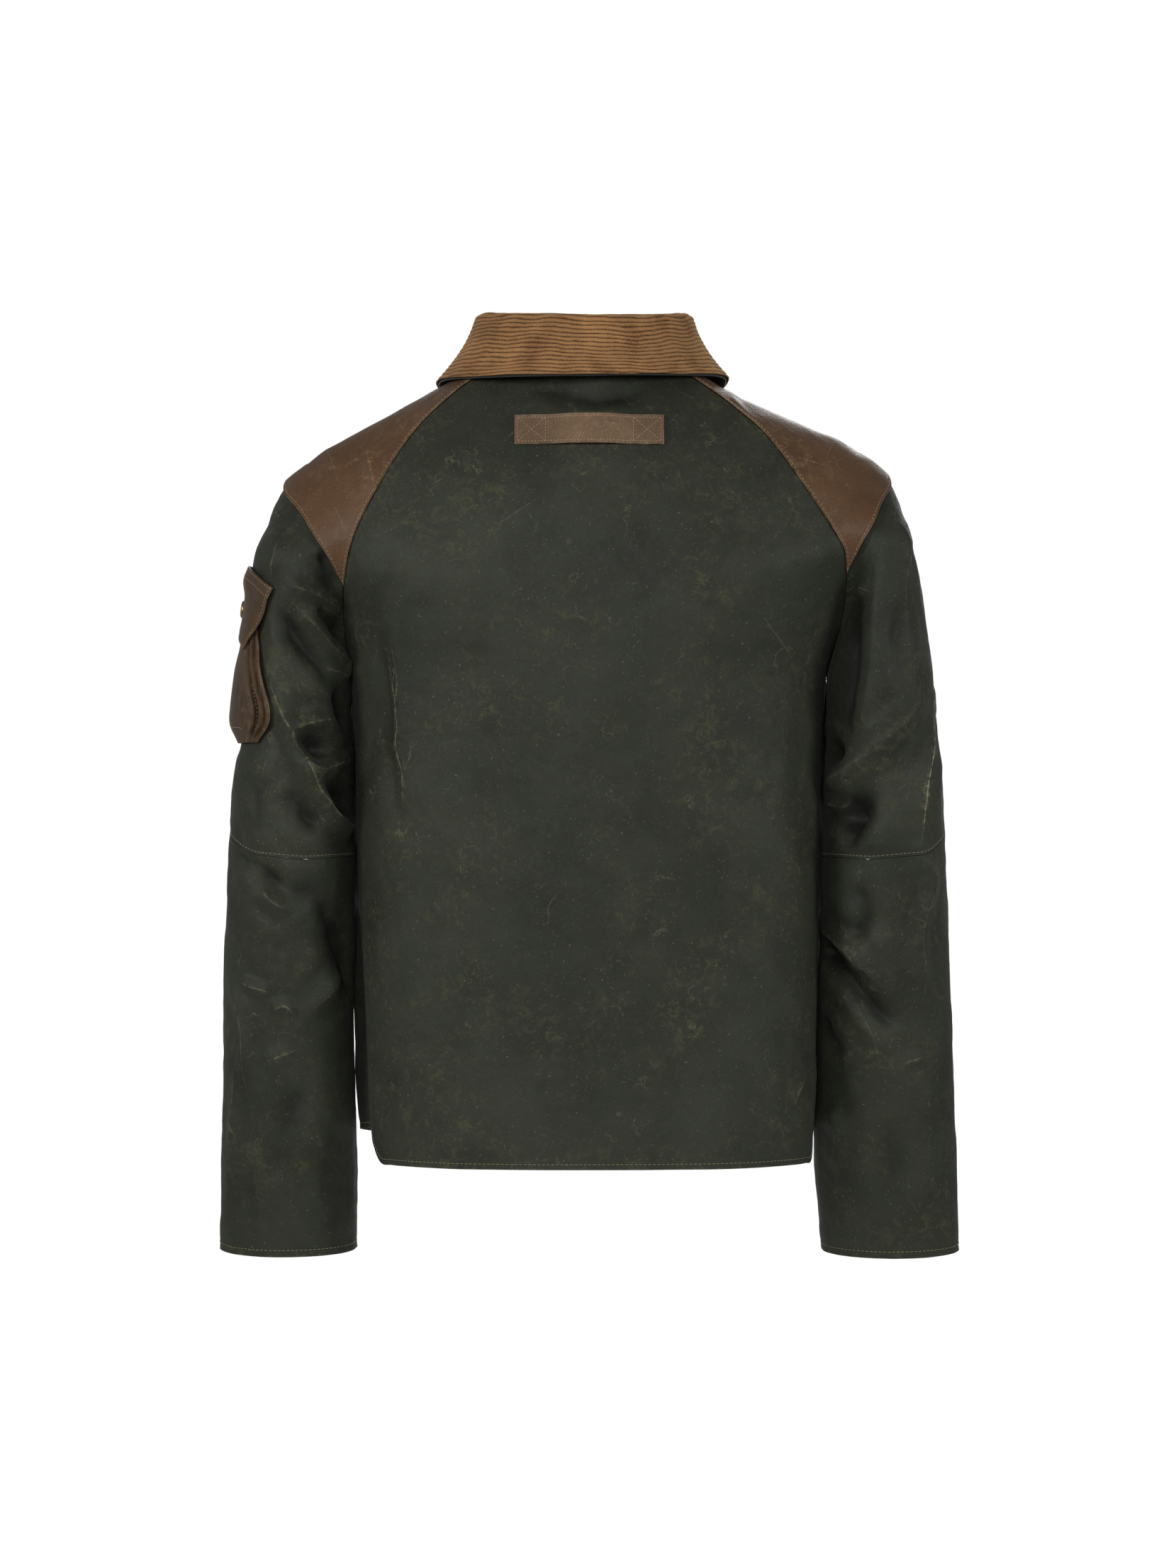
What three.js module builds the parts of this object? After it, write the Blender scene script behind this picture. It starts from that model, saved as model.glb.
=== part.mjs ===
// Waxed cotton jacket in its worn, hollow form, in millimetres.
// +X is the wearer's right, +Y the front of the garment, +Z up.
// The origin is the middle of the neck, level with the seam of the collar at the back.
import * as THREE from "three";

// Driving dimensions
const WALL = 1.6; // cloth with its wax and its backing
const PATCH_WALL = 1.2; // brown patches, tab, pocket and flap
const SEAM_GAP = 0.4; // between two panels along a seam
const LAID_GAP = 0.3; // between a panel and what is sewn on it
const CHAMFER = 0.75; // the inner edge of a wall steps back from its seam by this much
const NECK = { halfWidth: 76, halfDepth: 72, centreY: 10, frontDrop: 75, dropPower: 4.2, gap: 0.5 };
const NECK_BACK_ANGLE = 47; // the raglan seams meet the neck here, in degrees from the middle of the back
const NECK_FRONT_ANGLE = 124;
const BACK_HEM = -627;
const FRONT_HEM = -613;
const SIDE_HEM = -603;
const LAP = 15; // the fronts pass the middle of the chest by this much
const STUD = { radius: 7, height: 2.6, gap: 0.5, count: 5, first: -128, pitch: 108 };

const SLEEVE_COLUMNS = 20; // steps round a sleeve
const BACK_COLUMNS = 18;
const FRONT_COLUMNS = 10; // from the side to the middle
const BODY_STEPS = 10; // below the underarm
const UPPER_STEPS = 7; // from the underarm to the elbow seam
const LOWER_STEPS = 12; // from the elbow seam to the cuff

// Rows of the raglan part of a sleeve, from the neck to the underarm. x counts outwards.
// seam: where the back raglan seam passes, [x, y, z] on the wearer's left and right.
// ridge: the top outline of the sleeve, [x, z] left and right. front: the front raglan seam.
// tilt: how far the section leans down to the front. turn, frontTurn: the way the cloth leaves each seam,
// 0 straight outwards and 90 straight back or forward. reach: curve handles at
// [back seam, ridge to the back, ridge to the front, front seam].
// bodyTurn, bodyFrontTurn: the same way for the body, from the seam to the middle.
const RAGLAN = [
  { seam: [[56, -39, 0], [56, -39, 0]], ridge: [[76, -4], [76, -4]], ridgeY: 18, front: [62, 50, -28],
    tilt: 20, turn: -65, frontTurn: -62, reach: [17, 20, 18, 16], bodyTurn: 25, bodyFrontTurn: 40 },
  { seam: [[91, -50, -20], [97, -50, -28]], ridge: [[105, -16], [105, -23]], ridgeY: 10, front: [84, 72, -52],
    tilt: 17, turn: -58, frontTurn: -55, reach: [20, 24, 26, 22], bodyTurn: 20, bodyFrontTurn: 32 },
  { seam: [[118, -60, -43], [120, -60, -47]], ridge: [[137, -34], [137, -39]], ridgeY: 5, front: [104, 85, -79],
    tilt: 15, turn: -50, frontTurn: -48, reach: [22, 28, 32, 26], bodyTurn: 22, bodyFrontTurn: 25 },
  { seam: [[135, -66, -62], [138, -67, -64]], ridge: [[165, -50], [165, -51.5]], ridgeY: 2, front: [122, 93, -105],
    tilt: 15, turn: -40, frontTurn: -40, reach: [25, 33, 38, 30], bodyTurn: 26, bodyFrontTurn: 22 },
  { seam: [[152, -72, -87], [156, -73, -88]], ridge: [[193, -65], [195, -64]], ridgeY: 0, front: [140, 98, -133],
    tilt: 15, turn: -28, frontTurn: -30, reach: [26, 38, 44, 32], bodyTurn: 28, bodyFrontTurn: 22 },
  { seam: [[168, -76, -116], [175, -77, -116]], ridge: [[219.5, -81.5], [220, -77.5]], ridgeY: 0, front: [155, 97, -160],
    tilt: 15, turn: -14, frontTurn: -18, reach: [30, 42, 50, 36], bodyTurn: 30, bodyFrontTurn: 24 },
  { seam: [[179, -77, -138], [188, -77, -136]], ridge: [[242.5, -102], [240, -97]], ridgeY: 0, front: [167, 90, -184],
    tilt: 16, turn: 2, frontTurn: -4, reach: [36, 48, 52, 40], bodyTurn: 34, bodyFrontTurn: 30 },
  { seam: [[185, -74, -158], [197, -74, -151]], ridge: [[252.5, -132], [248.5, -125]], ridgeY: 0, front: [176, 76, -206],
    tilt: 18, turn: 22, frontTurn: 14, reach: [50, 62, 58, 46], bodyTurn: 42, bodyFrontTurn: 40 },
  { seam: [[189, -64, -176], [200, -64, -166]], ridge: [[264, -162], [256, -154]], ridgeY: 0, front: [182, 56, -224],
    tilt: 20, turn: 45, frontTurn: 40, reach: [60, 86, 74, 56], bodyTurn: 54, bodyFrontTurn: 52 },
  { seam: [[190, -38, -212], [198, -38, -205]], ridge: [[270, -194], [264, -190]], ridgeY: -1, front: [186, 28, -240],
    tilt: 20, turn: 72, frontTurn: 70, reach: [82, 84, 80, 76], bodyTurn: 72, bodyFrontTurn: 70 },
  { seam: [[187, -4, -248], [188, -4, -248]], ridge: [[273.5, -234], [269.8, -231]], ridgeY: -3, front: [187, -4, -248],
    tilt: 17, turn: 90, frontTurn: 90, reach: [106, 104, 100, 100], bodyTurn: 90, bodyFrontTurn: 90 },
];
const UNDERARM = RAGLAN.length - 1;
const RIDGE_LEVEL = 0.75; // how level the cloth crosses the ridge, against the tilt of its section
const KINK_POWER = 8; // how near a seam its kink at the underarm reaches into the cloth

// Rings of the sleeve below the underarm. inner and outer: [x, z] left and right. centreY, depth: half of the
// ring from back to front. tilt as above.
const SLEEVE_RINGS = [
  { inner: [[185.5, -303], [187, -303]], outer: [[278, -296], [275.5, -296]], centreY: -4, depth: 76, tilt: 11 },
  { inner: [[185, -352], [185.5, -352]], outer: [[280.5, -349], [280, -349]], centreY: -6, depth: 71, tilt: 6 },
  { inner: [[184, -400], [183.5, -400]], outer: [[283.3, -400], [282.3, -400]], centreY: -7, depth: 66, tilt: 2 },
  { inner: [[183.8, -450], [182.6, -450]], outer: [[285.8, -450], [284.6, -450]], centreY: -5, depth: 61, tilt: -2 },
  { inner: [[184.5, -500], [181.6, -500]], outer: [[287.4, -500], [286.8, -500]], centreY: -1, depth: 57, tilt: -4 },
  { inner: [[184, -560], [180.4, -560]], outer: [[288.8, -560], [289.4, -560]], centreY: 4, depth: 53, tilt: -5 },
  { inner: [[183, -625], [179, -625]], outer: [[290.4, -625], [292, -625]], centreY: 11, depth: 49, tilt: -5 },
  { inner: [[183, -701], [185, -702]], outer: [[292.3, -701], [294.5, -702]], centreY: 19, depth: 45, tilt: -4 },
];

// Middle of the back and of the front on each raglan row below the neck: [y, z] and the curve handles
// [at the seam, at the middle].
const BACK_MIDDLE = [
  { at: [-75, -22], reach: [26, 36] },
  { at: [-89, -48], reach: [34, 46] },
  { at: [-97, -68], reach: [38, 52] },
  { at: [-105, -92], reach: [44, 60] },
  { at: [-112, -119], reach: [50, 70] },
  { at: [-116, -141], reach: [55, 78] },
  { at: [-119, -161], reach: [60, 84] },
  { at: [-121, -182], reach: [64, 92] },
  { at: [-122, -214], reach: [70, 102] },
  { at: [-122, -248], reach: [78, 115] },
];
const FRONT_MIDDLE = [
  { at: [93, -90], reach: [26, 34] },
  { at: [104, -108], reach: [34, 42] },
  { at: [114, -128], reach: [38, 50] },
  { at: [122, -150], reach: [44, 58] },
  { at: [129, -172], reach: [48, 66] },
  { at: [132, -192], reach: [52, 74] },
  { at: [134, -210], reach: [56, 82] },
  { at: [135, -226], reach: [62, 92] },
  { at: [135, -240], reach: [70, 102] },
  { at: [135, -250], reach: [84, 115] },
];

// Level rows of the body below the underarm: side is [left, right], then where the side seam lies,
// the middle of the back and of the front, and how square the ring is.
const BODY_RINGS = [
  { z: -300, side: [183.5, 184.5], sideY: -6, back: -121, front: 134, square: 0.66 },
  { z: -352, side: [182.5, 182.5], sideY: -9, back: -118, front: 131, square: 0.68 },
  { z: -410, side: [180.5, 181], sideY: -12, back: -116, front: 128, square: 0.7 },
  { z: -470, side: [177, 180.3], sideY: -15, back: -115, front: 126, square: 0.7 },
  { z: -530, side: [174, 179], sideY: -18, back: -115, front: 124, square: 0.7 },
  { z: -585, side: [171.5, 177.4], sideY: -20, back: -114, front: 122, square: 0.7 },
  { z: -640, side: [168, 175], sideY: -20, back: -113, front: 120, square: 0.7 },
];
const HEM_CORNER = { back: [0.76, 0.87], front: [0.7, 0.7] }; // where the hem starts to rise towards the side seam
const LAP_STEP = [2, 42]; // beside the lap, where the right front comes out to its own line

// Folds of the sleeves: from and to are [round, z], where round is 0 at the back seam or the inside, 0.5 at the
// outside and 1 at the front. rise is the height of the ridge, or the depth of the trough where it is negative.
const SLEEVE_FOLDS = {
  left: [
    { from: [0.33, -203], to: [0.08, -238], rise: -3.5, width: 15 },
    { from: [0.34, -232], to: [0.2, -325], rise: 3, width: 14 },
    { from: [0.26, -280], to: [0.05, -325], rise: -4, width: 15 },
    { from: [0.36, -385], to: [0.24, -425], rise: -3.5, width: 15 },
    { from: [0.3, -450], to: [0.1, -480], rise: -2.5, width: 16 },
    { from: [0.62, -330], to: [0.9, -372], rise: -4, width: 16 },
    { from: [0.66, -372], to: [0.94, -402], rise: 3, width: 15 },
    { from: [0.62, -425], to: [0.9, -440], rise: -3, width: 16 },
  ],
  right: [
    { from: [0.06, -330], to: [0.45, -250], rise: 3.5, width: 15 },
    { from: [0.08, -362], to: [0.4, -300], rise: -3.5, width: 16 },
    { from: [0.44, -300], to: [0.34, -415], rise: 3, width: 14 },
    { from: [0.05, -452], to: [0.34, -528], rise: -4, width: 15 },
    { from: [0.12, -440], to: [0.38, -500], rise: 2.5, width: 14 },
    { from: [0.62, -318], to: [0.92, -360], rise: -4, width: 16 },
    { from: [0.64, -358], to: [0.92, -392], rise: 3, width: 15 },
    { from: [0.6, -420], to: [0.88, -446], rise: -3, width: 16 },
  ],
};
const GIRTH = 370; // one turn round a sleeve, for the spacing of its folds
const PRESSED = { round: 0.5, z: -245, halfRound: 0.24, halfHeight: 82, depth: 5 }; // under the pocket

// Folds of the body, from and to in [across, z], where across is -1 at the left side and 1 at the right.
const BACK_FOLDS = [
  { from: [-0.78, -200], to: [-0.62, -335], rise: -3, width: 16 },
  { from: [-0.64, -225], to: [-0.5, -320], rise: 2, width: 16 },
  { from: [0.74, -240], to: [0.62, -360], rise: -2.5, width: 16 },
  { from: [-0.3, -560], to: [-0.32, -640], rise: 2, width: 22 },
  { from: [0.34, -540], to: [0.37, -640], rise: 2, width: 22 },
];
const FRONT_FOLDS = [
  { from: [-0.72, -290], to: [-0.62, -420], rise: -3, width: 18 },
  { from: [0.7, -280], to: [0.6, -420], rise: -3, width: 18 },
  { from: [-0.9, -450], to: [-0.88, -660], rise: 12, width: 14 },
  { from: [-0.7, -440], to: [-0.68, -640], rise: -5, width: 18 },
  { from: [0.66, -450], to: [0.64, -640], rise: -4, width: 18 },
  { from: [-0.42, -480], to: [-0.42, -640], rise: 3, width: 20 },
  { from: [0.44, -500], to: [0.45, -640], rise: 3, width: 20 },
];
const QUARTER_GIRTH = 245; // from the side to the middle of the body, for the spacing of its folds

// Collar sections, degrees round the neck from the middle of the back. stand: height of the inner leaf,
// lean: how far it leans out, edgeOut and edgeUp: where the free edge of the fall lies from the neck seam.
const COLLAR = [
  { round: 0, stand: 22.5, lean: 0.5, edgeOut: 27, edgeUp: -20 },
  { round: 45, stand: 26, lean: 0, edgeOut: 33, edgeUp: -18 },
  { round: 90, stand: 33, lean: 1, edgeOut: 38.5, edgeUp: -12.4 },
  { round: 130, stand: 27, lean: 1, edgeOut: 32, edgeUp: -14 },
  { round: 155, stand: 21, lean: 2, edgeOut: 32, edgeUp: -24 },
  { round: 178, stand: 16, lean: 2, edgeOut: 32, edgeUp: -34 },
];
const COLLAR_SKEW = { lean: -3, out: -4.5, up: 1.6 }; // the right side of the fall lies closer and higher than the left
const COLLAR_SPREAD = { from: 140, slide: 16 }; // the points of the collar swing away from the middle
const COLLAR_END = 178; // the two ends of the collar meet in front
const COLLAR_STEPS = 26;
const COLLAR_WALL = { top: 1.3, under: 1.1 };
const LEAF_GAP = 0.22; // half of the gap between the two leaves of the collar
const COLLAR_ROLL = 4.5; // radius of the fold line
const WALES = { onRoll: 4, onFall: 13, height: 0.8 };

// Lower edge of a shoulder patch, as [round, row of the raglan part].
const PATCH_EDGE = [
  [0, 8.1], [0.12, 7.0], [0.22, 6.45], [0.36, 6.1], [0.5, 5.5], [0.64, 6.1], [0.78, 6.5], [0.88, 6.9], [1, 7.6],
];
const PATCH_TOP = 0.16; // row where the patch starts, just clear of the collar
const PATCH_STEPS = 9;
const PATCH_GAP = 0.7; // over the smooth form of the sleeve
const PATCH_SINK = 1.8; // how far the sleeve is pressed in under its patch

// Elbow seam, as [round, row of the sleeve].
const ELBOW_SEAM = [[0, 12.8], [0.2, 12.88], [0.34, 12.82], [0.5, 12.4], [0.66, 12.75], [0.85, 12.85], [1, 12.8]];
const ELBOW_GAP = 0.004; // half of the gap at the elbow seam, in rows of about 50 mm

const TAB = { width: 114, height: 23, centreX: 1, centreZ: -62, slack: 2.4 };

// The pocket lies over the outside of the left sleeve, wide below and narrow at its mouth.
const POCKET = { top: -186, bottom: -301, depth: 8.2, mouth: 0.15, gusset: 0.085, base: 0.16 };
const POCKET_HALVES = [[0, 0.11], [0.38, 0.147], [0.75, 0.203], [0.88, 0.203], [1, 0.16]]; // half round, by height
const FLAP = { top: -162, shoulder: -182, corner: -229, middle: -218, sewn: 10 };
const FLAP_HALVES = [[0, 0.238], [1, 0.1]];
const SEWN_RISE = PATCH_WALL + 0.95; // outer face of the pocket's edges over the sleeve
const FLAP_INSET = 0.82; // the flap follows the bellows this much nearer to its middle
const FLAP_CLEAR = 0.9; // between the flap and the pocket under it
const POCKET_STEPS = { across: 12, down: 8 };
const FLAP_STEPS = { across: 12, down: 5 };

// Materials
const material = (color, roughness, metalness = 0) =>
  new THREE.MeshStandardMaterial({ color, roughness, metalness });
const WAXED = material(0x35372f, 0.62);
const BROWN = material(0x5c4838, 0.6);
const CORDUROY = material(0x80592f, 0.9);
const DARK = material(0x26251f, 0.7);
const BRASS = material(0xa98a4e, 0.35, 0.9);

const jacket = new THREE.Group();
const vector = (x, y, z) => new THREE.Vector3(x, y, z);
const radians = THREE.MathUtils.degToRad;
const mix = THREE.MathUtils.lerp;
const SIDES = [{ name: "left", index: 0, sign: -1 }, { name: "right", index: 1, sign: 1 }];

// Curves

function bezier(a, b, c, d, t) {
  const s = 1 - t;
  return vector(0, 0, 0)
    .addScaledVector(a, s * s * s)
    .addScaledVector(b, 3 * s * s * t)
    .addScaledVector(c, 3 * s * t * t)
    .addScaledVector(d, t * t * t);
}

// A smooth value through rows of numbers or vectors, at a row given as a fraction.
function between(rows, at, pick) {
  const last = rows.length - 1;
  const i = Math.min(Math.max(Math.floor(at), 0), last - 1);
  const t = at - i;
  const p = [Math.max(i - 1, 0), i, i + 1, Math.min(i + 2, last)].map((k) => pick(rows[k]));
  const weights = [
    (-t + 2 * t * t - t * t * t) / 2,
    (2 - 5 * t * t + 3 * t * t * t) / 2,
    (t + 4 * t * t - 3 * t * t * t) / 2,
    (-t * t + t * t * t) / 2,
  ];
  if (typeof p[0] === "number") return p.reduce((sum, v, k) => sum + v * weights[k], 0);
  return p.reduce((sum, v, k) => sum.addScaledVector(v, weights[k]), vector(0, 0, 0));
}

// The same, but at a seam that turns sharply at one row, the rows below it are shaped by themselves.
function betweenKinked(rows, at, pick, kinkRow, sharpness) {
  if (at <= kinkRow || at >= kinkRow + 1) return between(rows, at, pick);
  const onward = pick(kinkRow).multiplyScalar(2).sub(pick(kinkRow + 1));
  return between(rows, at, (k) => (k === kinkRow - 1 ? pick(k).lerp(onward, sharpness) : pick(k)));
}

// A value read from [key, value] pairs, straight from pair to pair.
function lookUp(pairs, key) {
  const next = Math.max(1, pairs.findIndex(([k]) => k >= key - 1e-9));
  const [k0, v0] = pairs[next - 1];
  const [k1, v1] = pairs[next];
  return mix(v0, v1, (key - k0) / (k1 - k0));
}

// The place between low and high where a growing function reaches a value.
function solve(growing, value, low, high) {
  for (let i = 0; i < 30; i++) {
    const middle = (low + high) / 2;
    if (growing(middle) < value) low = middle;
    else high = middle;
  }
  return (low + high) / 2;
}

// A soft bump that is 1 along the line from a to b and dies out over its width.
function softLine(point, from, to, width) {
  const along = [to[0] - from[0], to[1] - from[1]];
  const away = [point[0] - from[0], point[1] - from[1]];
  const length = Math.hypot(...along);
  const t = (away[0] * along[0] + away[1] * along[1]) / length;
  const off = (away[0] * along[1] - away[1] * along[0]) / length;
  const ends = THREE.MathUtils.smoothstep(t, -width / 2, width) *
    (1 - THREE.MathUtils.smoothstep(t, length - width, length + width / 2));
  return Math.exp(-((off / width) ** 2) * 1.6) * ends;
}

// The neck line, in degrees from the middle of the back towards the wearer's right.
function neckPoint(degrees) {
  const turn = radians(degrees);
  const forward = (1 - Math.cos(turn)) / 2;
  return vector(
    NECK.halfWidth * Math.sin(turn),
    NECK.centreY - NECK.halfDepth * Math.cos(turn),
    -NECK.frontDrop * forward ** NECK.dropPower,
  );
}

function neckOutward(degrees) {
  const turn = radians(degrees);
  return vector(NECK.halfDepth * Math.sin(turn), -NECK.halfWidth * Math.cos(turn), 0).normalize();
}

// Cloth walls

// Normals of a grid of points. closed(row) tells whether a row runs on round into its own start.
function gridNormals(grid, closed) {
  const last = grid[0].length - 1;
  return grid.map((row, i) =>
    row.map((_, j) => {
      const before = j === 0 && closed(i) ? row[last - 1] : row[Math.max(j - 1, 0)];
      const after = j === last && closed(i) ? row[1] : row[Math.min(j + 1, last)];
      const above = grid[Math.max(i - 1, 0)][j];
      const below = grid[Math.min(i + 1, grid.length - 1)][j];
      const along = after.clone().sub(before);
      const down = below.clone().sub(above);
      return along.cross(down).normalize();
    }),
  );
}

// A sheet of cloth through a grid of outer points. Its normals point out, and the wall lies behind them.
// Rows from closedFrom on are whole rings, and the rows above them are open at both ends.
function clothSolid(grid, wall, closedFrom = Infinity, normals = gridNormals(grid, (i) => i >= closedFrom)) {
  const rows = grid.length;
  const columns = grid[0].length;
  const positions = [];
  const place = (i, j, inner) => {
    const column = i >= closedFrom && j === columns - 1 ? 0 : j;
    return (i * columns + column) * 2 + inner;
  };
  grid.forEach((row, i) =>
    row.forEach((point, j) => {
      const behind = point.clone().addScaledVector(normals[i][j], -wall);
      const beside = row[j === 0 ? 1 : columns - 2];
      if (i < closedFrom && (j === 0 || j === columns - 1))
        behind.addScaledVector(beside.clone().sub(point).normalize(), CHAMFER);
      positions.push(...point.toArray(), ...behind.toArray());
    }),
  );
  const faces = [];
  const quad = (a, b, c, d) => faces.push(a, b, c, a, c, d);
  for (let i = 0; i < rows - 1; i++)
    for (let j = 0; j < columns - 1; j++) {
      quad(place(i, j, 0), place(i, j + 1, 0), place(i + 1, j + 1, 0), place(i + 1, j, 0));
      quad(place(i, j, 1), place(i + 1, j, 1), place(i + 1, j + 1, 1), place(i, j + 1, 1));
    }
  for (let j = 0; j < columns - 1; j++) {
    quad(place(0, j, 1), place(0, j + 1, 1), place(0, j + 1, 0), place(0, j, 0));
    quad(place(rows - 1, j, 0), place(rows - 1, j + 1, 0), place(rows - 1, j + 1, 1), place(rows - 1, j, 1));
  }
  for (let i = 0; i < Math.min(rows - 1, closedFrom); i++) {
    quad(place(i, 0, 0), place(i + 1, 0, 0), place(i + 1, 0, 1), place(i, 0, 1));
    const edge = columns - 1;
    quad(place(i, edge, 1), place(i + 1, edge, 1), place(i + 1, edge, 0), place(i, edge, 0));
  }
  return solidFrom(positions, faces);
}

// A geometry from points and faces, turned so that its faces point out.
function solidFrom(positions, faces) {
  const corner = (k) => vector(...positions.slice(3 * k, 3 * k + 3));
  let volume = 0;
  for (let k = 0; k < faces.length; k += 3)
    volume += corner(faces[k]).dot(corner(faces[k + 1]).cross(corner(faces[k + 2])));
  if (volume < 0)
    for (let k = 0; k < faces.length; k += 3)
      [faces[k], faces[k + 1]] = [faces[k + 1], faces[k]];
  const geometry = new THREE.BufferGeometry();
  geometry.setAttribute("position", new THREE.Float32BufferAttribute(positions, 3));
  geometry.setIndex(faces);
  geometry.computeVertexNormals();
  return geometry;
}

function addPiece(name, geometry, look) {
  const mesh = new THREE.Mesh(geometry, look);
  mesh.name = name;
  jacket.add(mesh);
  return mesh;
}

// Moves each point along its own normal.
function moveOut(grid, distance, closed = () => false) {
  const normals = gridNormals(grid, closed);
  return grid.map((row, i) =>
    row.map((point, j) => point.clone().addScaledVector(normals[i][j], distance(i, j, point))),
  );
}

// Sleeves

// The plan of one row of a sleeve: its seam points, its ridge and the directions of its section.
function sleeveRow(side, k) {
  const raglan = k <= UNDERARM;
  const row = raglan ? RAGLAN[k] : SLEEVE_RINGS[k - UNDERARM - 1];
  const forward = vector(0, Math.cos(radians(row.tilt)), -Math.sin(radians(row.tilt)));
  const outside = (x, y, z) => vector(side.sign * x, y, z);
  const seams = raglan
    ? [row.seam[side.index], row.front]
    : Array(2).fill([row.inner[side.index][0], row.centreY, row.inner[side.index][1]]);
  if (k === UNDERARM) seams[1] = seams[0];
  const [top, ridgeY] = raglan ? [row.ridge[side.index], row.ridgeY] : [row.outer[side.index], row.centreY];
  const back = outside(...seams[0]);
  const front = outside(...seams[1]);
  const ridge = outside(top[0], ridgeY, top[1]);
  const outward = ridge.clone().sub(back.clone().add(front).multiplyScalar(0.5));
  outward.addScaledVector(forward, -outward.dot(forward)).normalize();
  const turns = raglan ? [row.turn, row.frontTurn] : [90, 90];
  const reach = raglan ? row.reach : Array(4).fill((row.depth * 4) / 3);
  const level = k <= UNDERARM ? forward.clone().lerp(vector(0, 1, 0), RIDGE_LEVEL).normalize() : forward;
  return { back, front, ridge, turns, reach, forward, level, outward };
}

const SLEEVE_LAST = UNDERARM + SLEEVE_RINGS.length;
const SLEEVE_PLANS = SIDES.map((side) =>
  Array.from({ length: SLEEVE_LAST + 1 }, (_, k) => sleeveRow(side, k)),
);
const SLEEVE_ROWS = [...Array(SLEEVE_LAST + 1).keys()];

// A point on one row: round is 0 at the back seam, 0.5 on the ridge and 1 at the front seam.
function sectionPoint(side, k, round) {
  if (k === 0) return neckPoint(side.sign * mix(NECK_BACK_ANGLE, NECK_FRONT_ANGLE, round));
  const { back, front, ridge, turns, reach, forward, level, outward } = SLEEVE_PLANS[side.index][k];
  const leave = (seam, turn, length, way) =>
    seam.clone()
      .addScaledVector(outward, length * Math.cos(radians(turn)))
      .addScaledVector(forward, way * length * Math.sin(radians(turn)));
  if (round <= 0.5) {
    const start = leave(back, turns[0], reach[0], -1);
    const end = ridge.clone().addScaledVector(level, -reach[1]);
    return bezier(back, start, end, ridge, round * 2);
  }
  const start = ridge.clone().addScaledVector(level, reach[2]);
  const end = leave(front, turns[1], reach[3], 1);
  return bezier(ridge, start, end, front, round * 2 - 1);
}

function sleevePoint(side, round, row) {
  const around = row >= UNDERARM ? (round + 1) % 1 : THREE.MathUtils.clamp(round, 0, 1);
  const pick = (k) => sectionPoint(side, k, around);
  return betweenKinked(SLEEVE_ROWS, row, pick, UNDERARM, Math.abs(2 * around - 1) ** KINK_POWER);
}

function sleeveNormal(side, round, row) {
  const step = 0.02;
  const [up, down] = [Math.max(row - step, 0), Math.min(row + step, SLEEVE_LAST)];
  const along = sleevePoint(side, round + step, row).sub(sleevePoint(side, round - step, row));
  const drop = sleevePoint(side, round, down).sub(sleevePoint(side, round, up));
  return along.cross(drop).multiplyScalar(-side.sign).normalize();
}

function sleeveRelief(side, round, z) {
  const folds = SLEEVE_FOLDS[side.name].reduce((sum, fold) => {
    const [from, to] = [fold.from, fold.to].map(([r, height]) => [r * GIRTH, height]);
    return sum + fold.rise * softLine([round * GIRTH, z], from, to, fold.width);
  }, 0);
  if (side.name === "right") return folds;
  const { smoothstep } = THREE.MathUtils;
  const across = smoothstep(1 - Math.abs(round - PRESSED.round) / PRESSED.halfRound, 0, 0.6);
  const down = smoothstep(1 - Math.abs(z - PRESSED.z) / PRESSED.halfHeight, 0, 0.35);
  return folds - PRESSED.depth * across * down;
}

// Steps round a sleeve, in the order that turns the cloth's face outwards on each side.
function roundSteps(side, columns, start = 0, end = 1) {
  const steps = Array.from({ length: columns + 1 }, (_, j) => mix(start, end, j / columns));
  return side.sign < 0 ? steps : steps.reverse();
}

// A point of the cloth of a sleeve, with its folds. Under the shoulder patch it lies a little deeper.
function clothPoint(side, round, row, sink) {
  const point = sleevePoint(side, round, row);
  const covered = 1 - THREE.MathUtils.smoothstep(row - lookUp(PATCH_EDGE, round), 0.2, 1);
  return point.addScaledVector(sleeveNormal(side, round, row), sleeveRelief(side, round, point.z) - sink * covered);
}

// Outer points of a sleeve. rowsAt(round, i) gives the row of the i-th line of the grid.
const sleeveGrid = (side, rounds, lines, rowsAt, sink = 0) =>
  Array.from({ length: lines }, (_, i) => rounds.map((round) => clothPoint(side, round, rowsAt(round, i), sink)));

// Steps the edges of a sleeve back from the raglan seams.
function openSeams(side, grid, rowsAt, distance) {
  grid.forEach((row, i) => {
    if (rowsAt(0, i) > UNDERARM) return;
    const { outward } = SLEEVE_PLANS[side.index][Math.round(rowsAt(0, i))];
    [row[0], row[row.length - 1]].forEach((point) => point.addScaledVector(outward, distance));
  });
  return grid;
}

const rowAtHeight = (pointAt, z, last) => solve((row) => -pointAt(row).z, -z, 0, last);

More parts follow.
